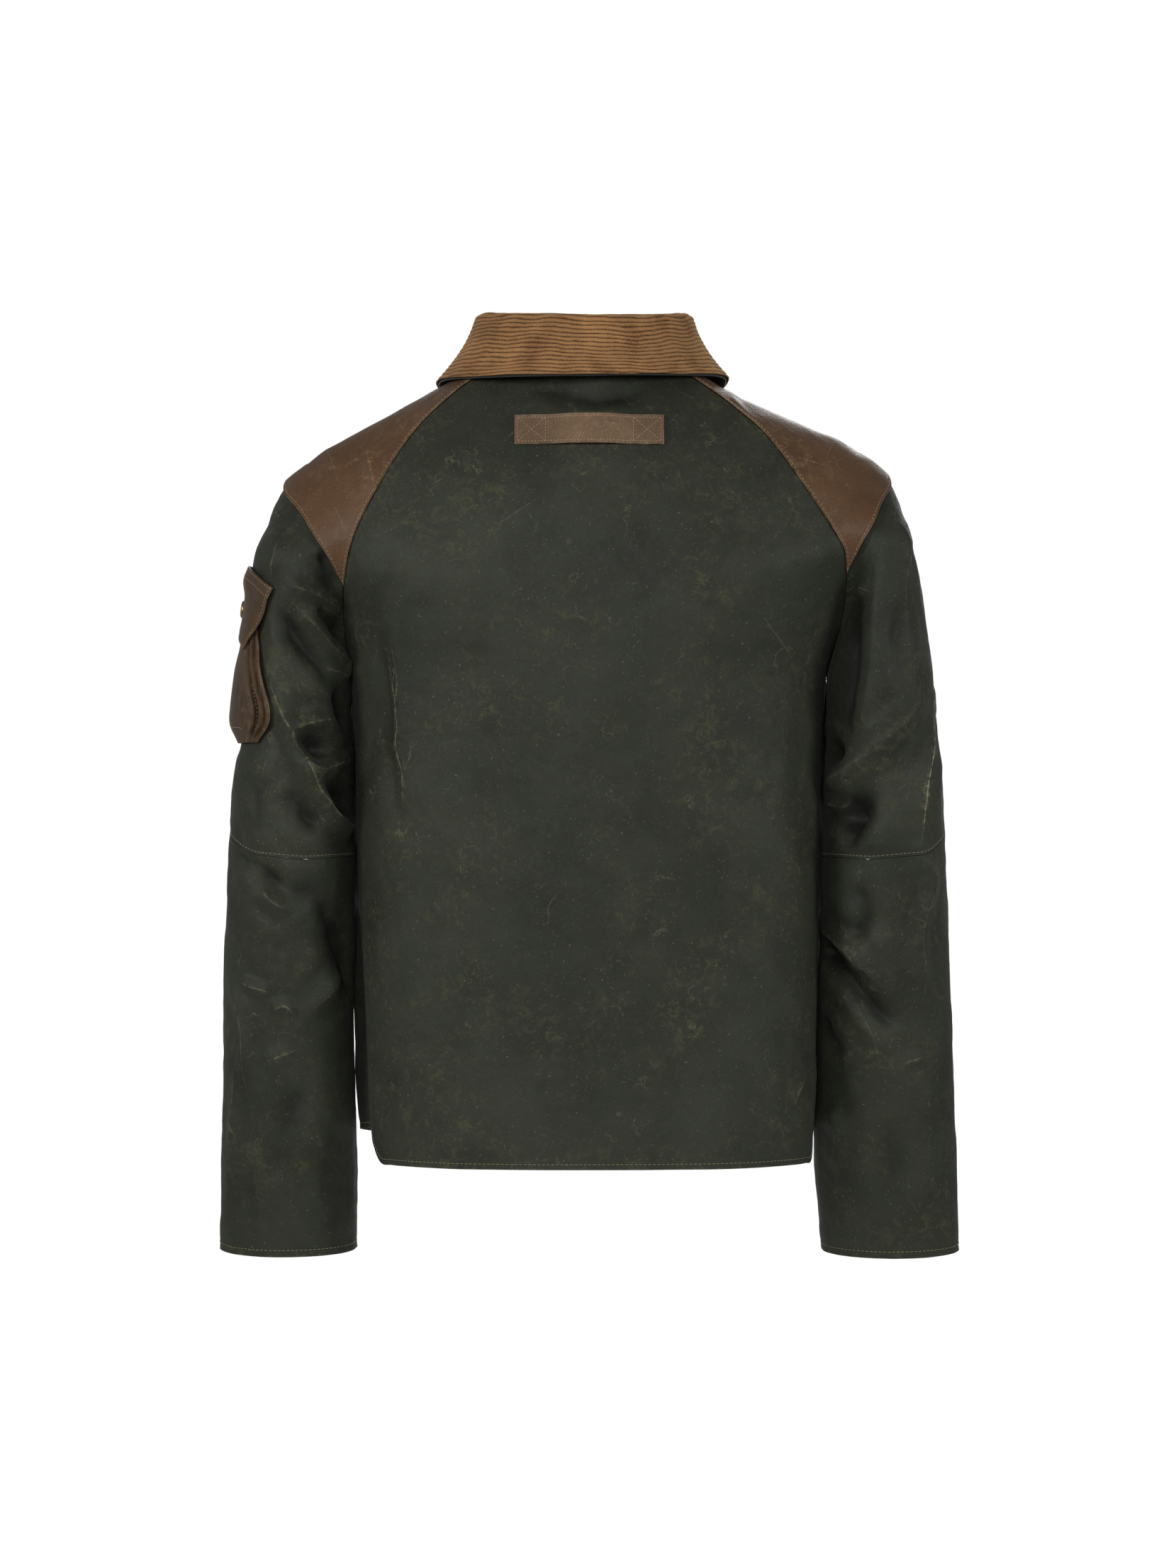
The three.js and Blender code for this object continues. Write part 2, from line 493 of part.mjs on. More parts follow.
// One sleeve: two pieces that meet at the elbow seam, whose walls share their slope there, and the patch.
for (const side of SIDES) {
  const rounds = roundSteps(side, SLEEVE_COLUMNS);
  const elbow = (round) => lookUp(ELBOW_SEAM, round);
  const upperStep = (round) => (elbow(round) - ELBOW_GAP - UNDERARM) / UPPER_STEPS;
  const lowerStep = (round) => (SLEEVE_LAST - elbow(round) - ELBOW_GAP) / LOWER_STEPS;
  const upperLast = UNDERARM + UPPER_STEPS;
  const upperRow = (round, i) => {
    if (i <= UNDERARM) return i;
    if (i <= upperLast) return UNDERARM + (i - UNDERARM) * upperStep(round);
    return elbow(round) + lowerStep(round);
  };
  const upper = sleeveGrid(side, rounds, upperLast + 2, upperRow, PATCH_SINK);
  openSeams(side, upper, upperRow, SEAM_GAP / 2);
  const upperNormals = gridNormals(upper, (i) => i >= UNDERARM);
  const upperSolid = clothSolid(upper.slice(0, -1), WALL, UNDERARM, upperNormals.slice(0, -1));
  addPiece("sleeve_upper_" + side.name, upperSolid, WAXED);

  const lowerRow = (round, i) =>
    i === 0 ? elbow(round) - upperStep(round) : elbow(round) + ELBOW_GAP + (i - 1) * lowerStep(round);
  const lower = sleeveGrid(side, rounds, LOWER_STEPS + 2, lowerRow);
  const lowerNormals = gridNormals(lower, () => true);
  const lowerSolid = clothSolid(lower.slice(1), WALL, 0, lowerNormals.slice(1));
  addPiece("sleeve_lower_" + side.name, lowerSolid, WAXED);

  const patchRow = (round, i) => mix(PATCH_TOP, lookUp(PATCH_EDGE, round), i / PATCH_STEPS);
  const patch = sleeveGrid(side, rounds, PATCH_STEPS + 1, patchRow);
  const laid = moveOut(patch, () => PATCH_GAP + PATCH_WALL);
  addPiece("shoulder_patch_" + side.name, clothSolid(laid, PATCH_WALL), BROWN);
}

// Body

// A point of the back or the front. across is -1 at the left, 0 in the middle and 1 at the right.
function bodyRowPoint(part, k, across) {
  const side = SIDES[across < 0 ? 0 : 1];
  const inwards = 1 - Math.abs(across);
  const way = part.way;
  if (k === 0) return neckPoint(side.sign * mix(part.neckSeam, part.neckMiddle, inwards));
  if (k <= UNDERARM) {
    const seam = SLEEVE_PLANS[side.index][k][part.name];
    const { at, reach } = part.middle[k - 1];
    const middle = vector(0, at[0], at[1]);
    const turn = radians(part.turn(RAGLAN[k]));
    const start = seam.clone().add(vector(-side.sign * Math.cos(turn), way * Math.sin(turn), 0).multiplyScalar(reach[0]));
    start.z = mix(seam.z, middle.z, 0.33);
    return bezier(seam, start, middle.clone().add(vector(side.sign * reach[1], 0, 0)), middle, inwards);
  }
  const ring = BODY_RINGS[k - UNDERARM - 1];
  const half = ring.side[side.index];
  const seam = vector(side.sign * half, ring.sideY, ring.z);
  const middle = vector(0, ring[part.name], ring.z);
  const start = seam.clone().add(vector(0, ring.square * (middle.y - seam.y), 0));
  const end = middle.clone().add(vector(side.sign * ring.square * half, 0, 0));
  return bezier(seam, start, end, middle, inwards);
}

const BODY_LAST = UNDERARM + BODY_RINGS.length;
const BODY_ROWS = [...Array(BODY_LAST + 1).keys()];
const bodyPoint = (part, across, row) =>
  betweenKinked(BODY_ROWS, row, (k) => bodyRowPoint(part, k, across), UNDERARM, Math.abs(across) ** KINK_POWER);

const hemHeight = (across, level, corner) =>
  mix(level, SIDE_HEM, THREE.MathUtils.smoothstep(Math.abs(across), corner[across < 0 ? 0 : 1], 1));

const BACK = {
  name: "back",
  way: -1,
  middle: BACK_MIDDLE,
  neckSeam: NECK_BACK_ANGLE,
  neckMiddle: 0,
  turn: (row) => row.bodyTurn,
  folds: BACK_FOLDS,
  hem: (across) => hemHeight(across, BACK_HEM, HEM_CORNER.back),
};
const FRONT = {
  name: "front",
  way: 1,
  middle: FRONT_MIDDLE,
  neckSeam: NECK_FRONT_ANGLE,
  neckMiddle: 180,
  turn: (row) => row.bodyFrontTurn,
  folds: FRONT_FOLDS,
  hem: (across) => hemHeight(across, FRONT_HEM, HEM_CORNER.front),
};

function bodyRelief(part, across, z) {
  return part.folds.reduce((sum, fold) => {
    const [from, to] = [fold.from, fold.to].map(([a, height]) => [a * QUARTER_GIRTH, height]);
    return sum + fold.rise * softLine([across * QUARTER_GIRTH, z], from, to, fold.width);
  }, 0);
}

// Outer points of a panel. acrossAt(row, j) gives the place of the j-th column on a row.
function bodyGrid(part, columns, acrossAt, lift = () => 0) {
  const places = [];
  const plain = Array.from({ length: UNDERARM + BODY_STEPS + 1 }, (_, i) => {
    const level = Math.min(i, UNDERARM);
    places.push(Array.from({ length: columns + 1 }, (_, j) => acrossAt(level, j)));
    return places[i].map((across) => {
      if (i <= UNDERARM) return bodyPoint(part, across, i);
      const hemRow = rowAtHeight((row) => bodyPoint(part, across, row), part.hem(across), BODY_LAST);
      return bodyPoint(part, across, mix(UNDERARM, hemRow, (i - UNDERARM) / BODY_STEPS));
    });
  });
  const folded = moveOut(plain, (i, j, point) => bodyRelief(part, places[i][j], point.z) + lift(point));
  folded.forEach((row, i) =>
    row.forEach((point, j) => {
      const across = places[i][j];
      if (Math.abs(across) < 1) return;
      const plan = SLEEVE_PLANS[across < 0 ? 0 : 1][Math.min(i, UNDERARM)];
      if (i <= UNDERARM) point.addScaledVector(plan.outward, -SEAM_GAP / 2);
      if (i >= UNDERARM) point.y += (part.way * SEAM_GAP) / 2;
    }),
  );
  return folded;
}

const backGrid = bodyGrid(BACK, BACK_COLUMNS, (_, j) => 1 - (2 * j) / BACK_COLUMNS);
addPiece("back", clothSolid(backGrid, WALL), WAXED);

// Where a row of the front reaches a distance to the right of the middle.
const lapAcross = (row) => solve((across) => bodyPoint(FRONT, across, row).x, LAP, 0, 1);
const LAP_COLUMNS = 2;
const frontColumns = FRONT_COLUMNS + LAP_COLUMNS;
const leftAcross = (row, j) =>
  j <= FRONT_COLUMNS ? j / FRONT_COLUMNS - 1 : (lapAcross(row) * (j - FRONT_COLUMNS)) / LAP_COLUMNS;
const leftGrid = bodyGrid(FRONT, frontColumns, leftAcross);
addPiece("front_left", clothSolid(leftGrid, WALL), WAXED);

// The right front lies behind the left one at the lap, and comes out to its own line beside it.
const behindLap = (point) =>
  -(WALL + 2 * SEAM_GAP) * (1 - THREE.MathUtils.smoothstep(point.x, LAP + LAP_STEP[0], LAP + LAP_STEP[1]));
const rightGrid = bodyGrid(FRONT, frontColumns, (row, j) => -leftAcross(row, frontColumns - j), behindLap);
addPiece("front_right", clothSolid(rightGrid, WALL), WAXED);

// Collar

// The middle line of the folded collar at one place round the neck, as [out, up] from the neck seam.
function collarLine(degrees) {
  const key = Math.abs(degrees);
  const next = Math.max(1, COLLAR.findIndex((row) => row.round >= key));
  const at = next - 1 + (key - COLLAR[next - 1].round) / (COLLAR[next].round - COLLAR[next - 1].round);
  const value = (name) => between(COLLAR, at, (row) => row[name]);
  const rightward = Math.sin(radians(degrees));
  const stand = value("stand");
  const lean = value("lean") + COLLAR_SKEW.lean * rightward;
  const edgeOut = value("edgeOut") + COLLAR_SKEW.out * rightward;
  const edgeUp = value("edgeUp") + COLLAR_SKEW.up * rightward;
  const inner = new THREE.QuadraticBezierCurve(
    new THREE.Vector2(0, 0), new THREE.Vector2(lean, stand * 0.5), new THREE.Vector2(lean, stand));
  const roll = new THREE.EllipseCurve(lean + COLLAR_ROLL, stand, COLLAR_ROLL, COLLAR_ROLL, Math.PI, 0, true);
  const outer = lean + 2 * COLLAR_ROLL;
  const bend = new THREE.Vector2(mix(outer, edgeOut, 0.25), mix(stand, edgeUp, 0.5));
  const fall = new THREE.QuadraticBezierCurve(
    new THREE.Vector2(outer, stand), bend, new THREE.Vector2(edgeOut, edgeUp));
  return { inner, roll, fall };
}

// A point of the line moved square to it, to the side of the neck and the top of the fold.
function collarOffset(curve, t, distance) {
  const point = curve.getPoint(t);
  const tangent = curve.getTangent(t);
  return [point.x - tangent.y * distance, point.y + tangent.x * distance];
}

const steps = (count, from = 0, to = 1) =>
  Array.from({ length: count + 1 }, (_, i) => mix(from, to, i / count));

// The section of the corduroy leaf: ribs on its outer face over a plain inside.
function topCollarSection(degrees) {
  const { inner, roll, fall } = collarLine(degrees);
  const plain = LEAF_GAP + COLLAR_WALL.top;
  const wale = (i) => plain + (i % 2 === 1 ? WALES.height : 0);
  const face = [
    ...steps(3).slice(0, -1).map((t) => collarOffset(inner, t, plain)),
    ...steps(2 * WALES.onRoll).slice(0, -1).map((t, i) => collarOffset(roll, t, wale(i))),
    ...steps(2 * WALES.onFall).map((t, i) => collarOffset(fall, t, wale(i))),
  ];
  const lining = [
    ...steps(3).slice(0, -1).map((t) => collarOffset(inner, t, LEAF_GAP)),
    ...steps(4).slice(0, -1).map((t) => collarOffset(roll, t, LEAF_GAP)),
    ...steps(4).map((t) => collarOffset(fall, t, LEAF_GAP)),
  ];
  return [...face, ...lining.reverse()];
}

function underCollarSection(degrees) {
  const { inner, roll, fall } = collarLine(degrees);
  const leaf = (distance) => [
    ...steps(3).slice(0, -1).map((t) => collarOffset(inner, t, distance)),
    ...steps(4).slice(0, -1).map((t) => collarOffset(roll, t, distance)),
    ...steps(4).map((t) => collarOffset(fall, t, distance)),
  ];
  return [...leaf(-LEAF_GAP), ...leaf(-LEAF_GAP - COLLAR_WALL.under).reverse()];
}

// Runs a section round the neck, from one front end of the collar to the other.
function collarSolid(sectionAt) {
  const positions = [];
  const faces = [];
  const places = steps(COLLAR_STEPS, -COLLAR_END, COLLAR_END);
  places.forEach((degrees) => {
    const seat = neckPoint(degrees);
    const out = neckOutward(degrees);
    const toBack = vector(-out.y, out.x, 0).multiplyScalar(-Math.sign(degrees));
    const swing = COLLAR_SPREAD.slide * THREE.MathUtils.smoothstep(Math.abs(degrees), COLLAR_SPREAD.from, COLLAR_END);
    for (const [away, up] of sectionAt(degrees)) {
      const slide = swing * THREE.MathUtils.clamp(away / COLLAR[0].edgeOut, 0, 1) ** 2;
      const point = seat.clone().addScaledVector(out, away).addScaledVector(toBack, slide);
      positions.push(point.x, point.y, point.z + NECK.gap + up);
    }
  });
  const size = positions.length / 3 / places.length;
  for (let i = 0; i < places.length - 1; i++)
    for (let j = 0; j < size; j++) {
      const [a, b] = [i * size + j, i * size + ((j + 1) % size)];
      faces.push(a, b, b + size, a, b + size, a + size);
    }
  const outline = sectionAt(COLLAR_END).map(([x, y]) => new THREE.Vector2(x, y));
  const last = (places.length - 1) * size;
  const { area, triangulateShape } = THREE.ShapeUtils;
  for (const triangle of triangulateShape(outline, [])) {
    const alike = area(triangle.map((k) => outline[k])) * area(outline) > 0;
    const [a, b, c] = alike ? triangle : [...triangle].reverse();
    faces.push(a, c, b, last + a, last + b, last + c);
  }
  return solidFrom(positions, faces);
}

addPiece("top_collar", collarSolid(topCollarSection), CORDUROY);
addPiece("under_collar", collarSolid(underCollarSection), DARK);

// Tab on the back: flat at its sewn ends, and a little loose between them.
const tabRows = steps(2, 1, -1);
const tabColumns = steps(14, 1, -1);
const tabPlaces = tabRows.map((v) =>
  tabColumns.map((u) => {
    const x = TAB.centreX + (u * TAB.width) / 2;
    const z = TAB.centreZ + (v * TAB.height) / 2;
    const row = rowAtHeight((k) => bodyPoint(BACK, 0, k), z, BODY_LAST);
    const across = solve((a) => bodyPoint(BACK, a, row).x, x, -1, 1);
    const level = rowAtHeight((k) => bodyPoint(BACK, across, k), z, BODY_LAST);
    return bodyPoint(BACK, solve((a) => bodyPoint(BACK, a, level).x, x, -1, 1), level);
  }),
);
const tabSlack = (u) => TAB.slack * (1 - THREE.MathUtils.smoothstep(Math.abs(u), 0.15, 1 - (2 * TAB.height) / TAB.width));
const tabGrid = moveOut(tabPlaces, (_, j) => LAID_GAP + PATCH_WALL + tabSlack(tabColumns[j]));
addPiece("back_tab", clothSolid(tabGrid, PATCH_WALL), BROWN);

// Pocket on the left sleeve: a bellows wall that is open at the top, under its flap.
const LEFT = SIDES[0];
const pocketRise = (u, v) => {
  const { smoothstep } = THREE.MathUtils;
  const sides = smoothstep(1 - Math.abs(u), 0, 2 * POCKET.gusset);
  const base = smoothstep(1 - v, 0, POCKET.base);
  return POCKET.depth * sides * base * mix(POCKET.mouth, 1, smoothstep(v, 0, 0.75));
};

// Places on the outside of the left sleeve, u from -1 to 1 round it, between two heights.
function pocketPlaces(halves, across, down, heightAt) {
  return steps(down).map((v) =>
    steps(across, -1, 1).map((u) => {
      const round = 0.5 + u * lookUp(halves, v);
      const z = heightAt(u, v);
      const row = rowAtHeight((k) => sleevePoint(LEFT, round, k), z, SLEEVE_LAST);
      const normal = sleeveNormal(LEFT, round, row);
      const point = sleevePoint(LEFT, round, row).addScaledVector(normal, sleeveRelief(LEFT, round, z));
      return { u, v, z, point, normal };
    }),
  );
}

const lifted = (places, rise) =>
  places.map((row) => row.map((place) => place.point.clone().addScaledVector(place.normal, rise(place))));

const pocketHeight = (_, v) => mix(POCKET.top, POCKET.bottom, v);
const pocketBody = pocketPlaces(POCKET_HALVES, POCKET_STEPS.across, POCKET_STEPS.down, pocketHeight);
const pocketGrid = lifted(pocketBody, ({ u, v }) => SEWN_RISE + pocketRise(u, v));
addPiece("pocket_body", clothSolid(pocketGrid, PATCH_WALL), BROWN);

const flapTop = (u) => mix(FLAP.top, FLAP.shoulder, u * u);
const flapHeight = (u, v) => mix(flapTop(u), mix(FLAP.middle, FLAP.corner, u * u), v);
const flapPlaces = pocketPlaces(FLAP_HALVES, FLAP_STEPS.across, FLAP_STEPS.down, flapHeight);
const flapRise = ({ u, v, z }) => {
  const over = THREE.MathUtils.smoothstep(flapTop(u) - z, 0, FLAP.sewn);
  const under = Math.max((POCKET.top - z) / (POCKET.top - POCKET.bottom), 0);
  const wide = (Math.abs(u) * FLAP_INSET * lookUp(FLAP_HALVES, v)) / lookUp(POCKET_HALVES, under);
  return SEWN_RISE + over * (PATCH_WALL + FLAP_CLEAR + pocketRise(Math.min(wide, 1), under));
};
const flapGrid = lifted(flapPlaces, flapRise);
addPiece("pocket_flap", clothSolid(flapGrid, PATCH_WALL), BROWN);

// Press studs: a domed ring with a sunk middle
const studProfile = [
  [0, 0], [1, 0], [1, 0.45], [0.85, 1], [0.6, 0.9], [0.5, 0.5], [0, 0.5],
].map(([r, h]) => new THREE.Vector2(r * STUD.radius, h * STUD.height));

function addStud(name, point, normal) {
  const stud = addPiece(name, new THREE.LatheGeometry(studProfile, 12), BRASS);
  stud.quaternion.setFromUnitVectors(vector(0, 1, 0), normal);
  stud.position.copy(point).addScaledVector(normal, STUD.gap);
}

const middleColumn = FRONT_COLUMNS;
for (let n = 0; n < STUD.count; n++) {
  const z = STUD.first - n * STUD.pitch;
  const row = rowAtHeight((k) => bodyPoint(FRONT, 0, k), z, BODY_LAST);
  const slope = bodyPoint(FRONT, 0, row + 0.1).sub(bodyPoint(FRONT, 0, row - 0.1));
  const normal = vector(1, 0, 0).cross(slope).normalize();
  addStud("front_stud_" + (n + 1), bodyPoint(FRONT, 0, row), normal);
}

const flapMiddle = FLAP_STEPS.across / 2;
const [above, studded, below] = [2, 3, 4].map((row) => flapGrid[row]);
const flapAlong = studded[flapMiddle + 1].clone().sub(studded[flapMiddle - 1]);
const flapNormal = flapAlong.cross(below[flapMiddle].clone().sub(above[flapMiddle])).normalize();
addStud("pocket_stud", studded[flapMiddle], flapNormal);

export default jacket;
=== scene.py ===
"""A waxed cotton jacket in its worn, hollow form, piece by piece as it is cut and sewn.

Everything is in metres: +X is the wearer's right, +Y the front of the jacket, +Z up,
and the origin is the middle of the neck, level with the collar seam at the back.
"""

import math
import random

import bmesh
import bpy
import numpy as np
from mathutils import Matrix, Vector, noise


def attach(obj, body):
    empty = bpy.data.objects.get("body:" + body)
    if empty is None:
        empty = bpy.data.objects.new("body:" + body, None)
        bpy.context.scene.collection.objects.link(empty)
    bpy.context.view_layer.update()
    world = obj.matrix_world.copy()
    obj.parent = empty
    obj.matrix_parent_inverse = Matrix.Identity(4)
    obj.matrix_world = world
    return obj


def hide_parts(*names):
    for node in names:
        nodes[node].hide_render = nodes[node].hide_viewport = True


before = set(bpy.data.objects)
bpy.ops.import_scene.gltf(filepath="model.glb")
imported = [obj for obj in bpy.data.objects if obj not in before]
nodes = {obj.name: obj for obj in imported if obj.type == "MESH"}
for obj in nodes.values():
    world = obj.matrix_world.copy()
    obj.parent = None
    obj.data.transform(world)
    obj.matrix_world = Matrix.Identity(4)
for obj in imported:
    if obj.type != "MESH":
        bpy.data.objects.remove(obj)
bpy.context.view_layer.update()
bpy.ops.object.select_all(action="DESELECT")
MM = 0.001


# Back panel
# One piece of heavy cotton, waxed dark olive, cut with raglan armholes from the neck to
# the underarms. Its hem is turned up and stitched, and its side seams join the fronts.

WAXED_WALL = 1.6 * MM
BACK_COLUMNS = 18
BACK_HEM_STITCH = 4.3 * MM
TAB_CLEAR = 0.5 * MM  # the back stays this much under its own surface where the tab lies
TAB_PLACE = (62 * MM, -62 * MM, 16 * MM)  # half its width, where it lies, and half its height
BODY_CORE = [(0, 0.01, -0.1), (0, 0.01, -0.7)]
CREASE_SHARPNESS = 1.35  # 2 is soft and round, 1 a knife edge
SOFT_WIDTH = 11  # a crease this wide, in mm, is not rubbed pale

# Creases of the back: a line of [x, z] seen from behind, its height and its width, in mm.
BACK_CREASES = [
    ([(-166, -206), (-155, -254), (-151, -308), (-146, -379)], -2.6, 11),
    ([(-155, -229), (-151, -253), (-147, -288), (-148, -306), (-143, -325), (-143, -354)], 1.3, 7, 1.6),
    ([(-136, -300), (-136, -311), (-141, -323)], 0.9, 6, 1.3),
    ([(-151, -222), (-146, -254), (-148, -276)], 1.2, 6),
    ([(-120, -405), (-122, -450), (-119, -500)], -0.8, 14),
    ([(-69, -136), (-36, -114)], 0.6, 7),
    ([(153, -254), (142, -308), (139, -357)], -1.3, 12),
    ([(134, -206), (158, -238)], 0.8, 8),
    ([(158, -581), (166, -562)], 1.2, 5),
    ([(150, -600), (154, -560), (150, -500)], -0.9, 12),
    ([(-30, -470), (-22, -540), (-30, -622)], 1.0, 24),
    ([(70, -500), (62, -560), (68, -620)], -1.0, 22),
    ([(-90, -520), (-96, -570), (-92, -622)], -0.9, 18),
    ([(20, -24), (34, -40), (42, -62)], -0.7, 8),
    # The deep hollow under the collar: its depth also darkens the cloth there, as painted shade
    ([(-52, -21), (-24, -31), (6, -37), (30, -33), (52, -24)], -5.5, 13),
]


def nearest_on_line(point, line):
    """The point of a broken line that is nearest to a point."""
    best = None
    for start, end in zip(line, line[1:]):
        start, end = Vector(start), Vector(end)
        along = end - start
        share = max(0.0, min(1.0, (point - start).dot(along) / along.length_squared))
        candidate = start + share * along
        if best is None or (candidate - point).length < (best - point).length:
            best = candidate
    return best


def outer_grid(node, columns, corner, middle, core, wall, rings_from=None):
    """The outer face of a cloth node as rows of points, the row nearest the neck first.

    corner is near the first point of the first row, middle near the middle of that row, and
    core is a line inside the hollow. From the row rings_from on, a row is a closed ring.
    """
    cloth = bmesh.new()
    cloth.from_mesh(nodes[node].data)
    bmesh.ops.remove_doubles(cloth, verts=cloth.verts, dist=1e-5)
    rim = 1.35 * wall
    outer = set()
    for face in cloth.faces:
        centre = face.calc_center_median()
        outwards = face.normal.dot(centre - nearest_on_line(centre, core))
        if outwards > 0 and min(edge.calc_length() for edge in face.edges) > rim:
            outer.add(face)
    first = min(outer, key=lambda face: (face.calc_center_median() - Vector(middle)).length)
    place = {first: dict(zip(first.verts, map(np.array, [(0, 0), (1, 0), (1, 1)])))}
    queue = [first]
    while queue:
        face = queue.pop(0)
        for edge in face.edges:
            for other in edge.link_faces:
                if other not in outer or other in place:
                    continue
                p, q = edge.verts
                near = next(v for v in face.verts if v not in edge.verts)
                far = next(v for v in other.verts if v not in edge.verts)
                known = place[face]
                place[other] = {p: known[p], q: known[q], far: known[p] + known[q] - known[near]}
                queue.append(other)

    # The border runs along rows and columns only, which tells them from the diagonals.
    ways = {(1, 0): [0, 0.0], (0, 1): [0, 0.0], (1, 1): [0, 0.0]}
    for face in place:
        for edge in face.edges:
            p, q = edge.verts
            way = tuple(abs(place[face][p] - place[face][q]))
            ways[way][1] += edge.calc_length()
            ways[way][0] += sum(other in place for other in edge.link_faces) == 1
    along = next(way for way in ways if ways[way][0] == 2 * columns)
    down = min((way for way in ways if way != along), key=lambda way: (ways[way][0] == 0, ways[way][1]))
    basis = np.linalg.inv(np.array([down, along], float).T)
    cells = []
    for face, corners in place.items():
        cells.append([(vert, *np.rint(basis @ at).astype(int)) for vert, at in corners.items()])
    rows = [row for cell in cells for _, row, _ in cell]
    heights = {row: [] for row in (min(rows), max(rows))}
    for cell in cells:
        for vert, row, _ in cell:
            if row in heights:
                heights[row].append(vert.co.z)
    if np.mean(heights[min(rows)]) < np.mean(heights[max(rows)]):
        cells = [[(vert, -row, column) for vert, row, column in cell] for cell in cells]
    top = min(row for cell in cells for _, row, _ in cell)
    cells = [[(vert, row - top, column) for vert, row, column in cell] for cell in cells]
    height = max(row for cell in cells for _, row, _ in cell)
    if rings_from is None or rings_from > 0:
        open_rows = [column for cell in cells for _, row, column in cell if row <= (rings_from or height)]
        start = min(column for cell in cells for _, row, column in cell if row == 0)
        start = min(start, *open_rows) if rings_from is None else start
    else:
        head = [(vert, column) for cell in cells for vert, row, column in cell if row == 0]
        start = min(head, key=lambda one: (one[0].co - Vector(corner)).length)[1]
    grid = np.full((height + 1, columns + 1, 3), np.nan)
    for cell in cells:
        cell = [(vert, row, column - start) for vert, row, column in cell]
        if rings_from is not None:
            turns = math.floor(min(column for _, _, column in cell) / columns)
            cell = [(vert, row, column - turns * columns) for vert, row, column in cell]
        for vert, row, column in cell:
            grid[row, column] = vert.co
    cloth.free()
    ends = [np.linalg.norm(grid[0, column] - np.array(corner)) for column in (0, columns)]
    if ends[1] < ends[0]:
        grid = grid[:, ::-1]
    return grid


def finer(points, times, axis):
    """More points along a grid, on smooth curves through the ones that it has."""
    p = np.moveaxis(points, axis, 0)
    p = np.concatenate([2 * p[:1] - p[1:2], p, 2 * p[-1:] - p[-2:-1]])
    spans = len(p) - 3
    at = np.linspace(0, spans, spans * times + 1)
    i = np.minimum(at.astype(int), spans - 1)
    t = (at - i)[:, None, None]
    a, b, c, d = p[i], p[i + 1], p[i + 2], p[i + 3]
    curve = b + 0.5 * t * (c - a + t * (2 * a - 5 * b + 4 * c - d + t * (3 * (b - c) + d - a)))
    return np.moveaxis(curve, 0, axis)


def grid_normals(points, core):
    """Unit normals of a grid that point away from the hollow inside the cloth."""
    normals = np.cross(np.gradient(points, axis=0), np.gradient(points, axis=1))
    normals /= np.maximum(np.linalg.norm(normals, axis=2, keepdims=True), 1e-12)
    middle = points.shape[0] // 2, points.shape[1] // 2
    inside = nearest_on_line(Vector(points[middle]), core)
    if normals[middle] @ (points[middle] - np.array(inside)) < 0:
        normals = -normals
    return normals


def smooth_step(value, low, high):
    share = np.clip((value - low) / (high - low), 0, 1)
    return share * share * (3 - 2 * share)


def distance_to_line(points, normals, line):
    """Distance of each grid point from a broken line, how far along it that is, 0 to 1, and its side."""
    best = np.full(points.shape[:2], np.inf)
    run = np.zeros(points.shape[:2])
    side = np.ones(points.shape[:2])
    lengths = [np.linalg.norm(b - a) for a, b in zip(line, line[1:])]
    done = 0.0
    for a, b, length in zip(line, line[1:], lengths):
        share = np.clip((points - a) @ (b - a) / length**2, 0, 1)
        away = np.linalg.norm(points - (a + share[..., None] * (b - a)), axis=2)
        turn = np.sign((np.cross(b - a, points - a) * normals).sum(axis=2))
        nearer = away < best
        best = np.where(nearer, away, best)
        run = np.where(nearer, (done + share * length) / sum(lengths), run)
        side = np.where(nearer, turn, side)
        done += length
    return best, run, side


def crease(points, normals, creases, facing, depth=1.0):
    """Heights of the listed creases, and the marks that they leave on the cloth. Each crease rises to a
    crest, or sinks where its height is negative, with softer ground beside it, and fades at both ends.
    The marks are how strongly the cloth is rubbed there, and the distance from the crest, in mm. A sharper
    crease is rubbed more, unless the crease itself says how strongly."""
    relief = np.zeros(points.shape[:2])
    rubbed = np.zeros(points.shape[:2])
    across = np.full(points.shape[:2], 50.0)
    nearest = np.full(points.shape[:2], np.inf)
    seen = normals[..., 1] * facing > -0.25
    for number, (line, height, width, *rub) in enumerate(creases):
        places = []
        for x, z in finer(np.array(line, float)[:, None], 6, 0)[:, 0] * MM:
            away = np.hypot(points[..., 0] - x, points[..., 2] - z) + np.where(seen, 0, 1)
            places.append((x, points[np.unravel_index(away.argmin(), away.shape)][1], z))
        away, run, side = distance_to_line(points, normals, np.array(places))
        ends = smooth_step(run, 0, 0.25) * (1 - smooth_step(run, 0.7, 1))
        waver = 1 + 0.25 * np.sin(9 * run + 2.4 * number)
        near = np.exp(-((away / (width * MM)) ** CREASE_SHARPNESS) * 1.3)
        beside = np.exp(-(((away / (width * MM)) - 1.7) ** 2) * 1.6)
        relief += depth * height * MM * waver * ends * (near - 0.25 * beside)
        closer = away < nearest
        sharp = rub[0] if rub else np.clip((SOFT_WIDTH - width) / 5, 0.04, 1) * (1 if height > 0 else 0.35)
        worn = ends * np.exp(-((away / (5 * MM)) ** 2)) * sharp
        rubbed = np.where(closer, worn, rubbed)
        across = np.where(closer, side * away / MM, across)
        nearest = np.minimum(nearest, away)
    return relief, np.stack([rubbed, across], axis=-1)


def worn_edge(marks, run, strength):
    """The same marks with a rubbed line along an edge of the cloth."""
    near = run < 6 * MM
    marks[near] = np.stack([np.full(near.sum(), strength), run[near] / MM], axis=-1)
    return marks


